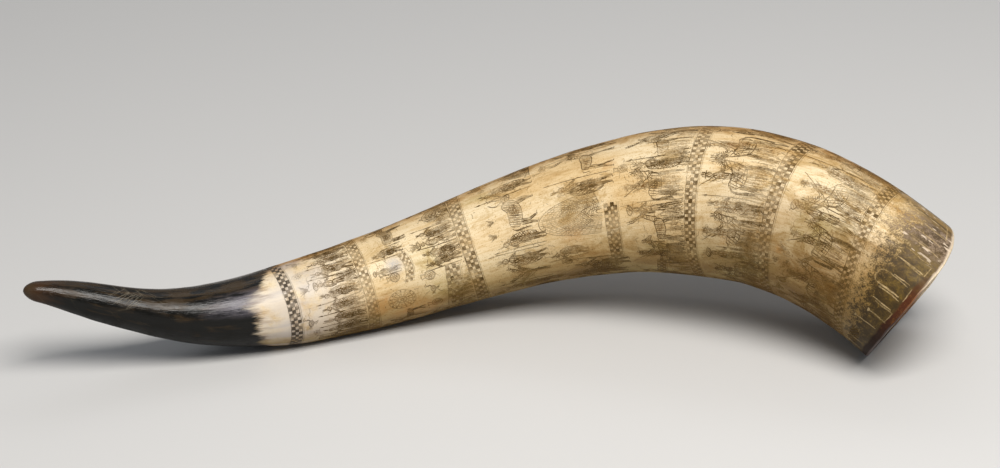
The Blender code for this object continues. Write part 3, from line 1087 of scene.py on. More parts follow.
def addToScene(name, data):
    made = bpy.data.objects.new(name, data)
    bpy.context.scene.collection.objects.link(made)
    return made


def addPiece(name, mesh, *materials):
    piece = addToScene(name, mesh)
    for material in materials:
        mesh.materials.append(material)
    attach(piece, "root")
    return piece


class Wire:
    # one value in a shader: Python's arithmetic on it adds Math nodes
    def __init__(self, board, socket):
        self.board = board
        self.socket = socket

    __add__ = lambda self, other: self.board.maths("ADD", self, other)
    __radd__ = lambda self, other: self.board.maths("ADD", other, self)
    __sub__ = lambda self, other: self.board.maths("SUBTRACT", self, other)
    __rsub__ = lambda self, other: self.board.maths("SUBTRACT", other, self)
    __mul__ = lambda self, other: self.board.maths("MULTIPLY", self, other)
    __rmul__ = lambda self, other: self.board.maths("MULTIPLY", other, self)
    __truediv__ = lambda self, other: self.board.maths("DIVIDE", self, other)
    __rtruediv__ = lambda self, other: self.board.maths("DIVIDE", other, self)


class Board:
    # a material's nodes, where a name may stand for one of its colours
    def __init__(self, name, colours=None):
        self.colours = colours
        self.material = bpy.data.materials.new(name)
        self.material.use_nodes = True
        self.tree = self.material.node_tree
        self.shader = self.tree.nodes["Principled BSDF"]

    def join(self, value, socket):
        if isinstance(value, str):
            value = self.colours[value]
        if isinstance(value, Wire):
            self.tree.links.new(value.socket, socket)
        elif hasattr(socket.default_value, "__len__") and len(socket.default_value) == 4:
            socket.default_value = (*value, 1.0)[:4]
        else:
            socket.default_value = value

    def node(self, kind, settings, sockets, output=0):
        made = self.tree.nodes.new(kind)
        for key, value in settings.items():
            setattr(made, key, value)
        for key, value in sockets.items():
            self.join(value, made.inputs[key])
        return Wire(self, made.outputs[output])

    def maths(self, operation, first, second):
        return self.node("ShaderNodeMath", {"operation": operation}, {0: first, 1: second})

    def clamp(self, value):
        return self.node("ShaderNodeClamp", {}, {0: value})

    def step(self, value, low, high):
        # 0 below low, 1 above high and a smooth slope between
        return self.node("ShaderNodeMapRange", {"interpolation_type": "SMOOTHSTEP"},
                         {0: value, 1: low, 2: high, 3: 0.0, 4: 1.0})

    def mix(self, amount, first, second, blend="MIX"):
        return self.node("ShaderNodeMix", {"data_type": "RGBA", "blend_type": blend},
                         {0: amount, 6: first, 7: second}, 2)

    def tint(self, amount, colour, glaze):
        # the colour, multiplied by another as far as the amount says
        return self.mix(amount, colour, self.mix(1.0, colour, glaze, "MULTIPLY"))

    def drawnOut(self, vector, share):
        # the way along the horn, shrunk to a share of itself, so that a pattern on it is drawn out lengthways
        return self.node("ShaderNodeVectorMath", {"operation": "MULTIPLY"}, {0: vector, 1: (1.0, 1.0, share)})

    def noise(self, vector, scale, detail=2.0, roughness=0.5, distortion=0.0):
        return self.node("ShaderNodeTexNoise", {"noise_dimensions": "3D"},
                         {"Vector": vector, "Scale": scale, "Detail": detail, "Roughness": roughness,
                          "Distortion": distortion})

    def mark(self, name, output=2):
        return self.node("ShaderNodeAttribute", {"attribute_name": name}, {}, output)

    def parts(self, vector):
        split = self.node("ShaderNodeSeparateXYZ", {}, {0: vector})
        return [Wire(self, output) for output in split.socket.node.outputs]

    def uniform(self, **values):
        for key, value in values.items():
            self.join(value, self.shader.inputs[key.replace("_", " ")])

    def finish(self, colour, roughness, height, bumpMm):
        bump = self.node("ShaderNodeBump", {}, {"Strength": 1.0, "Distance": bumpMm * mm, "Height": height})
        self.join(colour, self.shader.inputs["Base Color"])
        self.join(roughness, self.shader.inputs["Roughness"])
        self.join(bump, self.shader.inputs["Normal"])
        return self.material


skinColours = {
    "cream": (0.80, 0.66, 0.435),
    "honey": (0.71, 0.52, 0.275),
    "grainTint": (0.80, 0.70, 0.52),
    "dirtTint": (0.64, 0.53, 0.33),
    "underPatinaAndShade": (0.56, 0.475, 0.25),
    "ridgeTint": (0.68, 0.49, 0.23),
    "rust": (0.47, 0.23, 0.06),
    "haze": (0.43, 0.40, 0.40),
    "pigmentTint": (0.36, 0.24, 0.105),
    "ivory": (0.66, 0.585, 0.490),
    "shadeTint": (0.55, 0.56, 0.44),
    "mouthShadeTint": (0.66, 0.61, 0.55),
    "cool": (0.40, 0.385, 0.385),
    "oliveTint": (0.62, 0.60, 0.34),
    "ember": (0.20, 0.105, 0.035),
    "black": (0.0045, 0.0042, 0.0032),
    "bark": (0.036, 0.022, 0.009),
    "lilacSheen": (0.145, 0.135, 0.160),
    "tipEnd": (0.042, 0.020, 0.008),
    "tipFace": (0.055, 0.033, 0.016),
    "mouthTan": (0.30, 0.190, 0.060),
    "mouthOlive": (0.130, 0.078, 0.008),
    "mouthBrown": (0.085, 0.044, 0.006),
    "mouthDark": (0.024, 0.014, 0.003),
    "mouthGold": (0.30, 0.185, 0.055),
    "mouthGreySheen": (0.255, 0.185, 0.130),
    "mouthUmber": (0.060, 0.040, 0.028),
    "mouthFleck": (0.70, 0.57, 0.43),
    "lipRed": (0.070, 0.015, 0.003),
    "lipAmber": (0.165, 0.058, 0.010),
    "lipBlack": (0.014, 0.004, 0.0015),
}

skinForm = {
    "handledMm": (45.0, 125.0),     # grime near the mouth, and painted shade on its lower front, fade from the mouth over these stretches
    "mouthShadeMm": (55.0, 150.0),
    "paleMm": (300.0, 336.0),       # the pale and the hazy horn begin over these
    "hazeMm": (326.0, 352.0),
    "tipEndMm": (456.0, 476.0),     # the browner end of the tip, and its very face
    "tipFaceMm": (474.5, 478.5),
    "darkStartMm": 351.5,           # the dark tip begins here,
    "darkFrontMm": 13.0,            # this much further on along the front
    "darkTopMm": 4.5,               # and this much sooner on top
    "mouthEdgeMm": 23.5,            # the dark mouth end reaches this far along the front,
    "mouthTopMm": 4.0,              # this much further on top,
    "mouthDipMm": 4.0,              # this much less on top and below
    "mouthRidgeMm": 13.0,           # and further again along the ridge
    "mottleMm": 10.0,               # half the breadth of its mottled edge
    "bumpMm": 0.10,
    "shine": 0.25,
}


class Grain:
    # the places on the horn and the noises that all parts of its skin share
    def __init__(self, board):
        self.straight = board.mark("straight", 1)
        x, y, self.along = board.parts(self.straight)
        self.atMm = self.along * 1000.0
        radius = board.node("ShaderNodeVectorMath", {"operation": "LENGTH"},
                            {0: board.drawnOut(self.straight, 0.0)}, 1) + 1e-5
        self.front, self.top = x / radius, y / radius
        self.below = 0.0 - self.top
        self.cutMm = board.mark("fromCut") * 1000.0
        self.lengthways = board.drawnOut(self.straight, 0.06)
        self.streak = board.noise(self.lengthways, 420.0, 3.0, 0.6)
        self.fibre = board.noise(self.lengthways, 1500.0, 2.0, 0.5)
        self.cloud = board.noise(self.straight, 110.0, 4.0, 0.6)
        self.dirt = board.noise(board.drawnOut(self.straight, 0.55), 85.0, 6.0, 0.72, 0.6)
        self.grit = board.noise(self.straight, 1500.0, 2.0, 0.6)
        self.lichen = board.noise(self.straight, 330.0, 5.0, 0.72, 0.4)


def agedHorn(board, grain):
    # old yellowed horn: cream and honey, finer streaks along it, golden and darker along its top ridge,
    # grime, and a darker underside that is partly patina and partly painted shade
    step, tint = board.step, board.tint
    broad = board.noise(board.drawnOut(grain.straight, 0.5), 34.0, 3.0, 0.55)
    colour = board.mix(step(broad, 0.36, 0.66), "cream", "honey")
    colour = tint(step(grain.streak, 0.44, 0.72) * 0.5, colour, "grainTint")
    colour = tint(step(grain.fibre, 0.48, 0.66) * 0.45, colour, "grainTint")
    under = step(grain.below, 0.05, 0.95)
    ridge = step(grain.top + 0.25 * (grain.cloud - 0.5), 0.84, 1.02)
    # darker and browner underneath: partly patina, partly painted shade
    colour = tint(under * 0.9, colour, "underPatinaAndShade")
    # painted shade: the lowest side darkened further, as if in shadow
    colour = tint(step(grain.below, 0.55, 1.0) * 0.9, colour, "shadeTint")
    colour = tint(ridge * 0.85, colour, "ridgeTint")
    handled = 1.0 - step(grain.atMm, *skinForm["handledMm"])
    # painted shade: the lower front near the mouth darkened, where less light falls as the horn curves away
    paintedMouthShade = (1.0 - step(grain.atMm, *skinForm["mouthShadeMm"])) * step(grain.below, -0.38, 0.05)
    colour = tint(paintedMouthShade * (1.0 - step(grain.below, 0.5, 0.85)), colour, "mouthShadeTint")
    grime = step(grain.dirt + 0.10 * under + 0.10 * ridge + 0.06 * handled, 0.50, 0.68)
    colour = tint(grime * (0.75 + 0.2 * handled), colour, "dirtTint")
    return tint(step(grain.grit, 0.56, 0.68) * 0.75, colour, "dirtTint")


def stainedHorn(board, grain, colour):
    # rusty, olive and cool patches, then paler and hazy, half clear horn where the colour begins to turn
    step, mix, cloud = board.step, board.mix, grain.cloud
    spot = step(board.noise(grain.straight, 62.0, 2.0, 0.5), 0.68, 0.78) * step(cloud, 0.4, 0.6)
    rusty = board.mark("rust") * step(0.6 * cloud + 0.4 * grain.grit, 0.36, 0.60)
    colour = mix(board.clamp(spot * 0.4 + rusty * 0.8), colour, "rust")
    olive = board.mark("olive") * step(0.5 * grain.dirt + 0.5 * cloud, 0.34, 0.60)
    colour = board.tint(olive, colour, "oliveTint")
    cool = board.mark("cool") * step(0.5 * grain.streak + 0.5 * grain.grit, 0.25, 0.58)
    colour = mix(board.clamp(cool * 0.8), colour, "cool")
    pale = step(grain.atMm, *skinForm["paleMm"]) * step(grain.front, 0.2, 0.95) * step(cloud, 0.25, 0.55)
    colour = mix(pale * 0.8, colour, "ivory")
    haze = step(grain.atMm, *skinForm["hazeMm"]) * step(board.noise(grain.lengthways, 210.0, 3.0), 0.48, 0.66)
    return mix(haze * 0.5, colour, "haze")


def rubbedHorn(board, grain, colour):
    # pigment rubbed in round the cuts, in blotches
    blotch = 0.45 * grain.grit + 0.55 * board.noise(grain.straight, 620.0, 5.0, 0.8)
    rubbed = board.clamp(board.mark("tone") * (0.14 + 1.30 * board.step(blotch, 0.455, 0.545)))
    return board.tint(rubbed, colour, "pigmentTint"), rubbed


def mouthEnd(board, grain, colour):
    # the dark mouth end, with a mottled edge, a grey and golden ridge whose grey is partly painted sheen, a
    # pale painted highlight along the sawn edge and a reddish lip underneath
    step, mix, noise, form = board.step, board.mix, board.noise, skinForm
    top, cloud, grit, lichen = grain.top, grain.cloud, grain.grit, grain.lichen
    edge = form["mouthEdgeMm"] + form["mouthTopMm"] * top - form["mouthDipMm"] * top * top
    edge = edge + form["mouthRidgeMm"] * step(top, 0.80, 0.97)
    cover = (edge - grain.atMm) / form["mottleMm"]
    growth = 0.58 * lichen + 0.42 * grit + 0.25 * (cloud - 0.5) + 0.14 * cover
    mouth = step(growth, 0.42, 0.62)
    colour = mix(step(growth, 0.32, 0.52) * 0.55, colour, "mouthTan")

    brown = mix(step(0.6 * lichen + 0.4 * cloud, 0.40, 0.60), "mouthOlive", "mouthBrown")
    shade = step(0.40 * lichen + 0.45 * grain.dirt + 0.15 * grit - 0.08 * top, 0.42, 0.62)
    dark = mix(shade, brown, "mouthDark")
    # a grey mottle on the upper side: partly the horn's own grey, partly painted sheen
    greyAndSheen = mix(step(0.7 * lichen + 0.3 * grit, 0.46, 0.56), "mouthUmber", "mouthGreySheen")
    dark = mix(step(top + 0.4 * (cloud - 0.5), 0.30, 0.60) * 0.9, dark, greyAndSheen)
    stripes = 0.75 * noise(board.drawnOut(grain.straight, 0.03), 330.0, 2.0, 0.6) + 0.25 * lichen
    golden = mix(step(stripes, 0.36, 0.64), "mouthGold", "mouthDark")
    dark = mix(step(top, 0.78, 0.90) * 0.85, dark, golden)
    fleck = step(noise(board.drawnOut(grain.straight, 0.3), 420.0, 2.0, 0.6), 0.61, 0.67)
    dark = mix(fleck * step(top, 0.2, 0.5) * 0.8, dark, "mouthFleck")
    colour = mix(mouth * 0.93, colour, dark)

    # a pale band just inside the sawn edge, from the front up to near the top: a painted highlight along the
    # edge
    pale = 1.0 - step(grain.cutMm + 1.6 * (cloud - 0.5) + 1.2 * (lichen - 0.5), 0.8, 2.0)
    pale = pale * step(top, -0.05, 0.3) * (1.0 - step(top, 0.85, 0.97))
    colour = mix(pale * 0.8, colour, "mouthFleck")
    lip = 1.0 - step(grain.cutMm + 3.0 * (cloud - 0.5) + 2.0 * (lichen - 0.5), 3.2, 4.8)
    lip = lip * (1.0 - step(top, -0.25, 0.35))
    red = mix(step(0.5 - 0.5 * top + 0.6 * (lichen - 0.5), 0.55, 0.95), "lipRed", "lipBlack")
    amber = step(0.7 * lichen + 0.3 * grit, 0.50, 0.64) * step(top, -0.9, -0.3)
    return mix(lip * 0.94, colour, mix(amber, red, "lipAmber")), mouth, lip


def blackTip(board, grain, colour):
    # the black tip: its edge runs out in fibres, browner on top, with a cloudy lilac patch at its beginning
    # in front that is partly half clear horn and partly a painted highlight
    step, mix, noise, form = board.step, board.mix, board.noise, skinForm
    front, top, cloud, streak, atMm = grain.front, grain.top, grain.cloud, grain.streak, grain.atMm
    edge = form["darkStartMm"] + form["darkFrontMm"] * front - form["darkTopMm"] * top
    wander = 14.0 * (noise(grain.lengthways, 95.0, 2.0) - 0.5)
    wander = wander + 13.0 * (noise(grain.lengthways, 800.0, 4.0, 0.7) - 0.5)
    beyond = atMm + wander - edge
    colour = mix(step(beyond, -9.0, 1.0) * step(streak, 0.40, 0.66) * 0.6, colour, "ember")
    smoky = step(front, 0.80, 0.98) * step(top, -0.15, 0.2)
    dark = step(beyond, -2.4, 2.6 + 8.0 * smoky)
    bark = step(streak + 0.45 * (cloud - 0.5) + 0.16 * top, 0.46, 0.72)
    tip = mix(bark, "black", "bark")
    # the lilac patch: partly the half clear horn, partly a painted highlight where the lamp shines on the
    # front
    cloudyHighlight = (1.0 - step(beyond, 6.0, 34.0)) * step(front, 0.72, 0.97) * step(top, -0.25, 0.15)
    tip = mix(cloudyHighlight * 0.85 * step(streak, 0.25, 0.6), tip, "lilacSheen")
    end = step(atMm + 26.0 * (cloud - 0.5) + 24.0 * (streak - 0.5), *form["tipEndMm"])
    tip = mix(end, tip, "tipEnd")
    tip = mix(step(atMm + 6.0 * (cloud - 0.5), *form["tipFaceMm"]), tip, "tipFace")
    return mix(dark, colour, tip), dark


def skinPattern(board, grain):
    # colour, roughness and height of the outside, from the straightened place of each point
    step, streak, fibre, dirt = board.step, grain.streak, grain.fibre, grain.dirt
    colour = stainedHorn(board, grain, agedHorn(board, grain))
    colour, rubbed = rubbedHorn(board, grain, colour)
    colour, mouth, lip = mouthEnd(board, grain, colour)
    colour, dark = blackTip(board, grain, colour)
    body = 0.40 + 0.16 * step(dirt, 0.35, 0.7) + 0.10 * rubbed + 0.20 * lip
    body = body + mouth * (0.10 - 0.20 * step(grain.top, 0.3, 0.6))
    tip = 0.21 + 0.14 * step(grain.cloud, 0.4, 0.7) + 0.34 * (1.0 - step(grain.top, -0.55, 0.05))
    roughness = board.node("ShaderNodeMix", {"data_type": "FLOAT"}, {0: dark, 2: body, 3: tip})
    height = 0.5 * fibre + 0.35 * streak + 0.4 * dirt + 0.25 * grain.grit
    height = height + dark * (0.8 * fibre + 0.8 * streak)
    return colour, roughness, height


def skinMaterial():
    board = Board("polishedHorn", skinColours)
    board.uniform(IOR=1.5, Specular_IOR_Level=skinForm["shine"])
    return board.finish(*skinPattern(board, Grain(board)), skinForm["bumpMm"])


cutForm = {
    # the filling deep in a cut, the filling where it is thin, and how far it is worn away
    "rubbedPigment": ((0.042, 0.023, 0.005), (0.145, 0.080, 0.020), 0.60),
    "checkPigment": ((0.050, 0.028, 0.007), (0.150, 0.086, 0.024), 0.52),
    "scrapedHorn": ((0.60, 0.45, 0.24), (0.36, 0.245, 0.105), 0.75),
    "paleScratch": ((0.42, 0.35, 0.23), (0.22, 0.18, 0.12), 0.70),
}

cutLooks = {
    "sooty": (0.06, 0.058, 0.056),  # the filling turns to this near the black tip,
    "sootyFrom": (0.33, 0.345),     # over this stretch
    "duller": 0.15,                 # cuts are duller than the skin by this much
    "shine": 0.12,
}


def cutMaterial(name):
    # what fills the cuts, worn back to the horn's own colour where its amount is low
    deep, thin, wear = cutForm[name]
    board = Board(name, {**skinColours, **cutLooks})
    grain = Grain(board)
    colour, roughness, height = skinPattern(board, grain)
    filling = board.mix(board.step(board.noise(grain.straight, 2400.0, 2.0, 0.6), 0.35, 0.7), deep, thin)
    patchy = board.step(board.noise(grain.straight, 260.0, 4.0, 0.65), 0.34, 0.60)
    faded = board.step(board.noise(grain.straight, 48.0, 3.0, 0.6), 0.38, 0.58)
    amount = board.clamp(board.mark("ink") * (1.15 - wear + wear * patchy) * (0.74 + 0.36 * faded))
    sooty = board.step(grain.along, *cutLooks["sootyFrom"])
    filling = board.mix(sooty * 0.6, filling, "sooty")
    board.uniform(IOR=1.5, Specular_IOR_Level=cutLooks["shine"])
    colour = board.mix(amount, colour, filling)
    return board.finish(colour, cutLooks["duller"] + roughness, height, skinForm["bumpMm"])


rimLooks = {
    "low": (0.030, 0.008, 0.003),
    "between": (0.20, 0.075, 0.020),
    "worn": (0.72, 0.60, 0.42),
    "lineTint": (0.6, 0.5, 0.4),
    "bumpMm": 0.1,
}


def rimMaterial():
    # the sawn edge: pale and yellow where it is worn above, reddish brown below, with growth lines
    board = Board("sawnRim", rimLooks)
    straight = board.mark("straight", 1)
    top = board.parts(straight)[1] / (hornForm["radiusMm"][0] * mm)
    lines = board.noise(board.drawnOut(straight, 0.3), 900.0, 3.0, 0.6)
    cloud = board.noise(straight, 140.0, 3.0, 0.6)
    worn = top + 0.3 * (cloud - 0.5)
    colour = board.mix(board.step(worn, -0.55, -0.15), "low", "between")
    colour = board.mix(board.step(worn, -0.1, 0.3), colour, "worn")
    colour = board.tint(board.step(lines, 0.45, 0.65) * 0.5, colour, "lineTint")
    return board.finish(colour, 0.38 + 0.2 * cloud, lines, rimLooks["bumpMm"])


hollowLooks = {
    "pale": (0.42, 0.29, 0.13),
    "brown": (0.27, 0.16, 0.065),
    "ridge": (0.15, 0.085, 0.032),
    "deep": (0.10, 0.055, 0.022),
    "darkerMm": (10.0, 220.0),
    "bumpMm": 0.4,
}


def hollowMaterial():
    # the inside: dull yellow brown, ridged lengthways, darker further in
    board = Board("hornInside", hollowLooks)
    straight = board.mark("straight", 1)
    atMm = board.parts(straight)[2] * 1000.0
    ridges = board.noise(board.drawnOut(straight, 0.05), 520.0, 3.0, 0.6)
    cloud = board.noise(straight, 90.0, 4.0, 0.6)
    colour = board.mix(board.step(cloud, 0.35, 0.65), "pale", "brown")
    colour = board.mix(board.step(ridges, 0.45, 0.7) * 0.6, colour, "ridge")
    colour = board.mix(board.step(atMm, *hollowLooks["darkerMm"]) * 0.6, colour, "deep")
    return board.finish(colour, 0.5 + 0.25 * cloud, ridges + cloud, hollowLooks["bumpMm"])


mapForm = {
    # the bake map: u runs along the horn or round its rim, and v in strips, each with a start and a height
    "edge": 0.004,
    "span": 0.992,
    "pole": 0.998,
    "stubShare": 0.035,
    "lengthShare": 0.96,
    "outside": (0.004, 0.786),
    "inside": (0.806, 0.15),
    "rim": (0.966, 0.03),
}


def mapAlong(at, length):
    # the edge plus the span times the place's share of the length, which may begin before the mouth
    share = np.clip(at / length * mapForm["lengthShare"] + mapForm["stubShare"], 0, 1)
    return mapForm["edge"] + mapForm["span"] * share


def bakeMap(at, around):
    # the horn unrolled: along the width of the map and round the height of its lower part
    start, high = mapForm["outside"]
    return beside(mapAlong(at, hornLength), start + high * (around / (2 * np.pi) + 0.5))


def ringPlaces(capStart, end, rings, capRings):
    # evenly spaced rings up to the rounded cap, then closer and closer ones, by the sine of equal angles
    cap = np.sin(np.linspace(0, np.pi / 2, capRings + 1)[1:-1])
    return np.concatenate([np.linspace(0, capStart, rings), capStart + (end - capStart) * cap])


def leaningRings(rings, cut):
    # the first rings lean with the sawn mouth, and those past the blend are square to the middle line
    fade = np.clip(1 - rings / (hornLooks["cutBlendMm"] * mm), 0, 1)
    return rings[:, None] + fade[:, None] * (cut + hornLooks["lipMm"] * mm)


def outsideLayer(around, cut):
    # each layer of the horn is its points, and where they are along it and how far from its middle line
    at = leaningRings(ringPlaces(tipStart, hornLength, hornLooks["rings"], hornLooks["tipRings"]), cut)[::-1]
    return onSkin(at, np.broadcast_to(around, at.shape)), at, outerRadius(at)


def rimLayer(around, outerCut, innerCut):
    # from the outer edge straight to the inner one, drawn back at both as a quarter circle
    lipShare = hornLooks["lipShare"]
    quarter = lipShare * (1 - np.cos(np.linspace(0, np.pi / 2, hornLooks["lipRings"] + 1)))
    share = np.concatenate([quarter, (0.5,), 1 - quarter[::-1]])[1:-1]
    inward = np.clip(1 - np.minimum(share, 1 - share) / lipShare, 0, 1)
    setBack = hornLooks["lipMm"] * mm * (1 - np.sqrt(1 - inward ** 2))
    outer, inner = wornRadius(outerCut, around), innerRadius(innerCut)
    outerEdge, innerEdge = roundTheLine(outerCut, around, outer), roundTheLine(innerCut, around, inner)
    points = outerEdge + share[:, None, None] * (innerEdge - outerEdge) - setBack[:, None, None] * mouthOut
    at = outerCut + share[:, None] * (innerCut - outerCut)
    return onTable(points), at, outer + share[:, None] * (inner - outer)


def insideLayer(around, cut):
    # the hollow: its radius times 1 plus a small share of ripples that run lengthways
    capStart = cavityEnd - hornForm["cavityCapMm"] * mm
    rings = ringPlaces(capStart, cavityEnd, hornLooks["cavityRings"], hornLooks["cavityEndRings"])
    at = leaningRings(rings, cut)
    turn = np.broadcast_to(around, at.shape)
    ridged = innerRadius(at) * (1 + hornLooks["ridgeShare"] * ripples("ridge", at, turn))
    return onTable(roundTheLine(at, turn, ridged)), at, innerRadius(at)


def stripMap(name, u):
    # the map's corners for the rows of one strip: u along it, v from the count of columns
    start, high = mapForm[name]
    v = start + high * np.arange(u.shape[1]) / (u.shape[1] - 1)
    return beside(u, np.broadcast_to(v, u.shape))


def closeRow(u):
    return np.concatenate([u, u[:, :1]], 1)


def quadMaps(corners):
    # the map's four corners for each quad of a grid, in the order of its vertices
    quads = np.stack([corners[:-1, :-1], corners[1:, :-1], corners[1:, 1:], corners[:-1, 1:]], 2)
    return quads.reshape(-1, 4, 2)


def fanMaps(left, right):
    # the map's corners for triangles that meet at a pole, halfway between their other two
    pole = beside(np.full(len(left), mapForm["pole"]), (left[:, 1] + right[:, 1]) / 2)
    return np.stack([left, right, pole], 1)


def buildHorn(skin, rim, hollow):
    # one closed surface: tip pole, outside, rim, inside, inner pole
    sides = hornLooks["sides"]
    around = np.linspace(-np.pi, np.pi, sides, endpoint=False)
    outerCut = cutAt(around)
    innerCut = cutPlace(around, lambda at, turn: innerRadius(at))
    layers = (
        outsideLayer(around, outerCut),
        rimLayer(around, outerCut, innerCut),
        insideLayer(around, innerCut),
    )
    grid, at, radius = (np.concatenate(parts) for parts in zip(*layers))
    total = len(grid)
    poles = (onSkin(hornLength, 0.0), onTable(roundTheLine(cavityEnd, 0.0, 0.0)))
    points = np.vstack([grid.reshape(-1, 3), *poles])
    attributes = surfaceMarks(np.concatenate([at.ravel(), (hornLength, cavityEnd)]),
                              np.concatenate([np.tile(around, total), (0, 0)]),
                              np.concatenate([radius.ravel(), (0, 0)]))
    column = np.arange(sides)
    following = (column + 1) % sides
    last = (total - 1) * sides
    tipFan = beside(column, following, np.full(sides, total * sides))
    endFan = beside(last + following, last + column, np.full(sides, total * sides + 1))

    rimRows = len(layers[1][0]) + 2
    outside = stripMap("outside", closeRow(mapAlong(layers[0][1], hornLength)))
    inside = stripMap("inside", closeRow(mapAlong(layers[2][1], cavityEnd)))
    start, high = mapForm["rim"]
    rimU = mapForm["edge"] + mapForm["span"] * np.arange(sides + 1) / sides
    rimV = start + high * np.arange(rimRows)[:, None] / (rimRows - 1)
    edge = beside(*np.broadcast_arrays(rimU, rimV))
    uvQuads = np.concatenate([quadMaps(outside), quadMaps(edge), quadMaps(inside)])
    uvTip = fanMaps(outside[0, :-1], outside[0, 1:])
    uvEnd = fanMaps(inside[-1, 1:], inside[-1, :-1])
    uvTriangles = np.concatenate([uvTip, uvEnd])
    mesh = buildMesh("engravedHorn", points, gridQuads(total, sides), np.concatenate([tipFan, endFan]),
                     uvQuads, uvTriangles, attributes)
    rows = (len(outside) - 1, rimRows - 1, len(inside) - 1, 1, 1)
    slots = np.repeat((0, 1, 2, 0, 2), rows).repeat(sides)
    mesh.polygons.foreach_set("material_index", slots.astype(np.int32))
    piece = addPiece("engravedHorn", mesh, skin, rim, hollow)
    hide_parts("horn")
    return piece


def strokePoints(lines):
    # each stroke's middle line at even steps, with its width, which tapers at both ends, and its ink
    middles, widths, inks = [], [], []
    for places, width, ink in lines:
        at, turn = places.T
        spans = np.hypot(np.diff(at), np.diff(turn) * outerRadius((at[1:] + at[:-1]) / 2))
        walked = np.concatenate([[0], np.cumsum(spans)])
        if walked[-1] < lineForm["shortestMm"] * mm:
            continue
        count = max(3, int(walked[-1] / (lineForm["stepMm"] * mm)) + 2, len(places))
        where = np.linspace(0, walked[-1], count)
        middles.append(beside(np.interp(where, walked, at), np.interp(where, walked, turn)))
        taper = 0.35 + 0.65 * np.sqrt(np.sin(np.pi * np.clip(where / walked[-1], 0.02, 0.98)))
        widths.append(width * mm * taper)
        inks.append(np.full(count, ink))
    stroke = np.repeat(np.arange(len(middles)), [len(middle) for middle in middles])
    return np.concatenate(middles), np.concatenate(widths), np.concatenate(inks), stroke


def ribbons(lines, rng):
    # flat ribbons: the middle line wobbles a little, and both edges lie half the width to its sides
    middle, width, ink, stroke = strokePoints(lines)
    radius = np.maximum(outerRadius(middle[:, 0]), 1e-4)
    wobble = rng.normal(0, lineForm["wobbleMm"] * mm, middle.shape)
    middle = middle + wobble / beside(np.ones_like(radius), radius)
    same = stroke[1:] == stroke[:-1]
    step = np.where(same[:, None], beside(np.diff(middle[:, 0]), np.diff(middle[:, 1]) * radius[1:]), 0)
    way = np.zeros_like(middle)
    way[1:] += step
    way[:-1] += step
    way /= np.linalg.norm(way, axis=1, keepdims=True) + 1e-12
    side = beside(-way[:, 1], way[:, 0] / radius) * (width / 2)[:, None]
    places = np.stack([middle + side, middle - side], 1).reshape(-1, 2)
    first = 2 * np.flatnonzero(same)
    return places, np.repeat(ink, 2), beside(first, first + 1, first + 3, first + 2)


def fans(fills, base):
    # filled shapes: triangles from each outline to its middle
    places, inks, triangles = [np.zeros((0, 2))], [np.zeros(0)], [np.zeros((0, 3), int)]
    for outline, amount in fills:
        count = len(outline)
        edge = np.arange(count)
        places.append(np.vstack([outline, outline.mean(0)]))
        inks.append(np.full(count + 1, amount))
        triangles.append(beside(base + edge, base + (edge + 1) % count, np.full(count, base + count)))
        base += count + 1
    return np.vstack(places), np.concatenate(inks), np.vstack(triangles)


def seamMaps(mapped, faces):
    # a face that crosses the map's seam is kept on one side of it
    start, high = mapForm["outside"]
    uv = mapped[faces]
    crossing = (uv[..., 1].max(1, keepdims=True) > 0.7) & (uv[..., 1] < 0.1)
    uv[..., 1] = np.where(crossing, start + high, uv[..., 1])
    return uv


def ribbonMesh(name, lines, fills, material, seed):
    # strokes and fills as one thin sheet, laid just above the skin
    places, ink, quads = ribbons(lines, np.random.default_rng(seed))
    fanPlaces, fanInk, triangles = fans(fills, len(places))
    at, turn = np.vstack([places, fanPlaces]).T
    ink = np.concatenate([ink, fanInk])
    points = onSkin(at, turn, lineForm["liftMm"] * mm)
    clear = points[:, 2] > lineForm["clearOfTableMm"] * mm
    clear &= fromCut(at, turn) > lineForm["clearOfCutMm"] * mm
    middle = stretched(fromSpine(at, "middle"), hornForm["oval"]) + place

    def kept(faces):
        # only faces clear of the worn flats and the cut, every one turned to face outwards
        faces = faces[clear[faces].all(1)]
        a, b, c = (points[faces[:, corner]] for corner in range(3))
        inward = (np.cross(b - a, c - a) * (a - middle[faces[:, 0]])).sum(1) < 0
        faces[inward] = faces[inward][:, ::-1]
        return faces

    quads, triangles = kept(quads), kept(triangles)
    used, corners = np.unique(np.concatenate([quads.ravel(), triangles.ravel()]), return_inverse=True)
    quads, triangles = corners[:quads.size].reshape(-1, 4), corners[quads.size:].reshape(-1, 3)
    at, turn = at[used], nearTurn(turn[used])
    attributes = {**surfaceMarks(at, turn, outerRadius(at)), "ink": ink[used]}
    mapped = bakeMap(at, turn)
    uvQuads, uvTriangles = seamMaps(mapped, quads), seamMaps(mapped, triangles)
    mesh = buildMesh(name, points[used], quads, triangles, uvQuads, uvTriangles, attributes)
    return addPiece(name, mesh, material)


checkedForm = {
    "missing": 0.03,            # share of the dark cells that were left out
    "lineOutMm": 0.15,          # the scribed lines beside the cells, and one more below them
    "belowOutMm": 0.9,
    "cell": ((-1, -0.7), (-0.7, -1), (0.8, -1), (1, -0.6), (1, 0.8), (0.7, 1), (-0.8, 1), (-1, 0.7)),
}


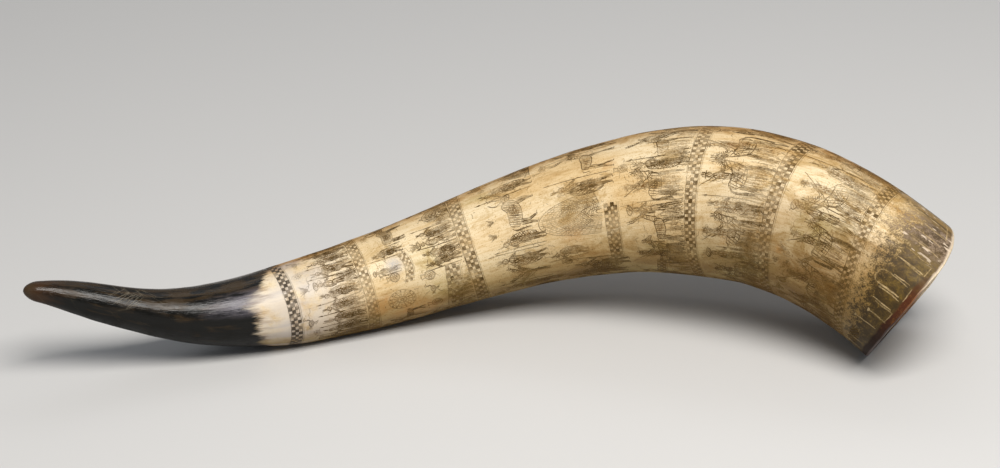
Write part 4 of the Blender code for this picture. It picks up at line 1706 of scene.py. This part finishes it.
def checkedLines(rng):
    # dark cells as squares with clipped corners, and the scribed lines along both sides of the stripe
    lines, fills = [], []
    for form in checks:
        rows, cell = form["rows"], form["cell"]
        start, end = np.radians(form["fromDeg"]), np.radians(form["toDeg"])
        radius = outerRadius(checkPlace(form, (start + end) / 2) * mm)
        count = max(4, int(round((end - start) * radius / (cell * mm) / 2)) * 2)
        half = (end - start) / count / 2
        turns = np.linspace(start, end, count, endpoint=False) + half
        for row in range(rows):
            for around in turns[row % 2::2]:
                if rng.random() < checkedForm["missing"]:
                    continue
                at = checkPlace(form, around) + (row - (rows - 1) / 2) * cell
                shape = np.array(checkedForm["cell"])
                shape = shape * rng.uniform(1.06, 1.32) + rng.uniform(-0.12, 0.12, shape.shape)
                outline = beside((at + shape[:, 0] * cell / 2) * mm, around + shape[:, 1] * half)
                fills.append((outline, rng.uniform(0.55, 1.0) * form["ink"]))
        fine = np.linspace(start, end, max(6, count // 3))
        out = rows * cell / 2
        beyond, below = out + checkedForm["lineOutMm"], out + checkedForm["belowOutMm"]
        for offset, ink in ((-beyond, 0.75), (beyond, 0.75), (-below, 0.45)):
            lines.append((beside((checkPlace(form, fine) + offset) * mm, fine), lineForm["fineMm"], ink))
    return lines, fills


panelForm = {
    # tall round-topped panels left dark between scraped lines, all round the mouth
    "lowMm": 4.0,
    "highMm": 20.5,
    "widthDeg": (8.5, 12.5),
    "lineMm": 0.80,
    "sideShare": 0.80,          # sides that were scraped
    "plainShare": 0.70,         # panels without an arch
    "footShare": 0.55,          # panels with a line along the rim
    "spotShare": 0.25,          # a bare spot at the end of a side
    "plainDeg": (28, 82),       # no arches here,
    "bareDeg": (-66, -42),      # and no panels here
}


def panelEdges(rng):
    # random widths from the back round to the back again, then all stretched to close the ring
    least, most = panelForm["widthDeg"]
    edges = [-180.0]
    while edges[-1] < 180 - least:
        edges.append(edges[-1] + rng.uniform(least, most))
    return -180 + (np.array(edges) + 180) * 360 / (edges[-1] + 180)


def scrapedLines(rng):
    # two sides and a round top for each panel, in places only, with a bare spot where a side ends
    lines, fills, form = [], [], panelForm
    edges = panelEdges(rng)

    def scrape(at, turn, thick, ink):
        lines.append((beside(at, turn), form["lineMm"] * thick, ink))

    for left, right in zip(edges[:-1], edges[1:]):
        middle = (left + right) / 2
        if form["bareDeg"][0] < middle < form["bareDeg"][1]:
            continue
        high = form["highMm"] + rng.uniform(-4.0, 2.5)
        low = form["lowMm"] + rng.uniform(-0.6, 2.8)
        width = (right - left) / 2 * rng.uniform(0.80, 0.98)
        t = np.linspace(0, 1, 12)
        side = low + (high - width * 0.5 - low) * t
        start = cutAt(np.radians(middle))
        for sign in (-1, 1):
            if rng.random() < form["sideShare"]:
                turn = np.radians(middle + sign * width * (1 + 0.05 * np.sin(5 * t + left)))
                scrape(start + side * mm, turn, rng.uniform(0.7, 1.1), rng.uniform(0.3, 0.7))
                if rng.random() < form["spotShare"]:
                    spot = ring(0, 0, rng.uniform(0.5, 1.1), rng.uniform(0.5, 1.0), 9)
                    spot = spot * rng.uniform(0.7, 1.3, (9, 1)) * mm
                    spotAt = start + side[-1] * mm + spot[:, 0]
                    spotTurn = turn[-1] + spot[:, 1] / outerRadius(start)
                    fills.append((beside(spotAt, spotTurn), rng.uniform(0.4, 0.8)))
        if rng.random() < form["footShare"]:
            foot = np.radians(np.linspace(middle - width * 1.1, middle + width * 1.1, 9))
            scrape(cutAt(foot) + form["lowMm"] * mm, foot, rng.uniform(0.5, 0.8), rng.uniform(0.3, 0.7))
        if rng.random() < form["plainShare"] or form["plainDeg"][0] < middle < form["plainDeg"][1]:
            continue
        arc = np.radians(np.linspace(0, 180, 11))
        top = start + (high - width * 0.5 + width * 0.5 * np.sin(arc)) * mm
        scrape(top, np.radians(middle + width * np.cos(arc)), 0.8, rng.uniform(0.2, 0.6))
    return lines, fills


scratchForm = {
    "count": 130,
    "crowded": 34,              # so many of them cross at one place on top of the tip
    "placeMm": (428, 5),        # the middle of that place and its spread
    "placeAround": (0.85, 0.16),
    "anywhereMm": (368, 468),
    "longMm": (3, 12),
}


def wearScratches(rng):
    # pale hairlines along and across the dark tip
    lines, form = [], scratchForm
    t = np.linspace(0, 1, 6)
    for scratch in range(form["count"]):
        crowded = scratch < form["crowded"]
        at = (rng.normal(*form["placeMm"]) if crowded else rng.uniform(*form["anywhereMm"])) * mm
        turn = rng.normal(*form["placeAround"]) if crowded else rng.uniform(-np.pi, np.pi)
        long = rng.uniform(*form["longMm"]) * mm
        lean = rng.choice((-0.75, 0.75)) + rng.uniform(-0.2, 0.2) if crowded else rng.uniform(-0.7, 0.7)
        turns = turn + long * np.sin(lean) * t / outerRadius(at) + 0.02 * t ** 2
        width, least, most = (0.18, 0.6, 1.0) if crowded else (0.14, 0.15, 0.5)
        lines.append((beside(at + long * np.cos(lean) * t, turns), width, rng.uniform(least, most)))
    return lines


horn = buildHorn(skinMaterial(), rimMaterial(), hollowMaterial())
print("horn built:", len(horn.data.polygons), "faces")

cuts = {name: cutMaterial(name) for name in cutForm}
print("cuts filled with", ", ".join(cuts))
sheets = {
    # what each piece's strokes and fills are, what fills them, and the seed of their wobble
    "checkedBands": (*checkedLines(np.random.default_rng(21)), "checkPigment", 22),
    "figuresNearTip": (picture.lines["tip"], picture.fills["tip"], "rubbedPigment", 30),
    "figuresInMiddle": (picture.lines["middle"], picture.fills["middle"], "rubbedPigment", 31),
    "figuresNearMouth": (picture.lines["mouth"], picture.fills["mouth"], "rubbedPigment", 32),
    "mouthPanels": (*scrapedLines(np.random.default_rng(41)), "scrapedHorn", 42),
    "tipScratches": (wearScratches(np.random.default_rng(51)), [], "paleScratch", 52),
}
for name, (lines, fills, filling, seed) in sheets.items():
    piece = ribbonMesh(name, lines, fills, cuts[filling], seed)
    print(name, len(piece.data.polygons), "faces")


stageForm = {
    "floorSize": 16.0,
    "floorDropMm": 0.2,
    "floorColour": (0.60, 0.595, 0.585),
    "floorRoughness": 0.8,
    "worldColour": (0.82, 0.86, 0.92),
    "worldStrength": 0.22,
}

lampForm = {
    # azimuth, 0 in front and 90 to the right, and elevation in degrees, distance, size, watts and colour
    "keyLamp": (24, 57, 1.6, (1.05, 0.75), 33, (1.0, 0.97, 0.93)),
    "fillLamp": (-50, 35, 1.8, (1.0, 1.0), 1.2, (0.95, 0.97, 1.0)),
    "backLamp": (170, 50, 1.8, (1.6, 0.6), 3, (0.95, 0.97, 1.0)),
}

cameraForm = {
    "lensMm": 100,
    "sensorMm": 36,
    "distance": 1.3889,
    "elevationDeg": 25,
    "rollDeg": -1.01,
    "aimFromMiddleMm": (3.6, 5.3, 3.0),
}


def buildFloor():
    # a wide pale floor, just below the table that the horn lies on
    half, low = stageForm["floorSize"] / 2, -stageForm["floorDropMm"] * mm
    mesh = bpy.data.meshes.new("floor")
    corners = [(-half, -half, low), (half, -half, low), (half, half, low), (-half, half, low)]
    mesh.from_pydata(corners, [], [(0, 1, 2, 3)])
    board = Board("paleFloor")
    board.uniform(Base_Color=stageForm["floorColour"], Roughness=stageForm["floorRoughness"])
    mesh.materials.append(board.material)
    floor = addToScene("floor", mesh)


def addLamp(name, aimAt, azimuthDeg, elevationDeg, distance, size, watts, colour):
    # a rectangular lamp on a sphere round the horn, turned towards it
    azimuth, elevation = np.radians(azimuthDeg), np.radians(elevationDeg)
    flat = np.cos(elevation)
    way = np.array((np.sin(azimuth) * flat, -np.cos(azimuth) * flat, np.sin(elevation)))
    data = bpy.data.lights.new(name, "AREA")
    data.shape = "RECTANGLE"
    data.size, data.size_y = size
    data.energy = watts
    data.color = colour
    lamp = addToScene(name, data)
    lamp.location = Vector(aimAt + distance * way)
    lamp.rotation_euler = Vector(-way).to_track_quat("-Z", "Y").to_euler()


def lightRoom():
    world = bpy.data.worlds.new("paleRoom")
    world.use_nodes = True
    background = world.node_tree.nodes["Background"]
    background.inputs["Color"].default_value = (*stageForm["worldColour"], 1.0)
    background.inputs["Strength"].default_value = stageForm["worldStrength"]
    bpy.context.scene.world = world


def addCamera(middle):
    # looks down by its elevation from so far away, rolled a little about its own line of sight
    aim = middle + np.array(cameraForm["aimFromMiddleMm"]) * mm
    down = np.radians(cameraForm["elevationDeg"])
    look = np.array((0.0, np.cos(down), -np.sin(down)))
    data = bpy.data.cameras.new("camera")
    data.lens = cameraForm["lensMm"]
    data.sensor_width = cameraForm["sensorMm"]
    camera = addToScene("camera", data)
    roll = Matrix.Rotation(np.radians(cameraForm["rollDeg"]), 4, "Z")
    tilt = Matrix.Rotation(np.pi / 2 - down, 4, "X") @ roll
    camera.matrix_world = Matrix.Translation(Vector(aim - cameraForm["distance"] * look)) @ tilt
    bpy.context.scene.camera = camera


middle = np.array((cadBox[0] + cadBox[1]) / 2)
buildFloor()
for name, form in lampForm.items():
    addLamp(name, middle, *form)
lightRoom()
addCamera(middle)
bpy.context.scene.view_settings.view_transform = "Standard"
print("stage, lamps and camera set")
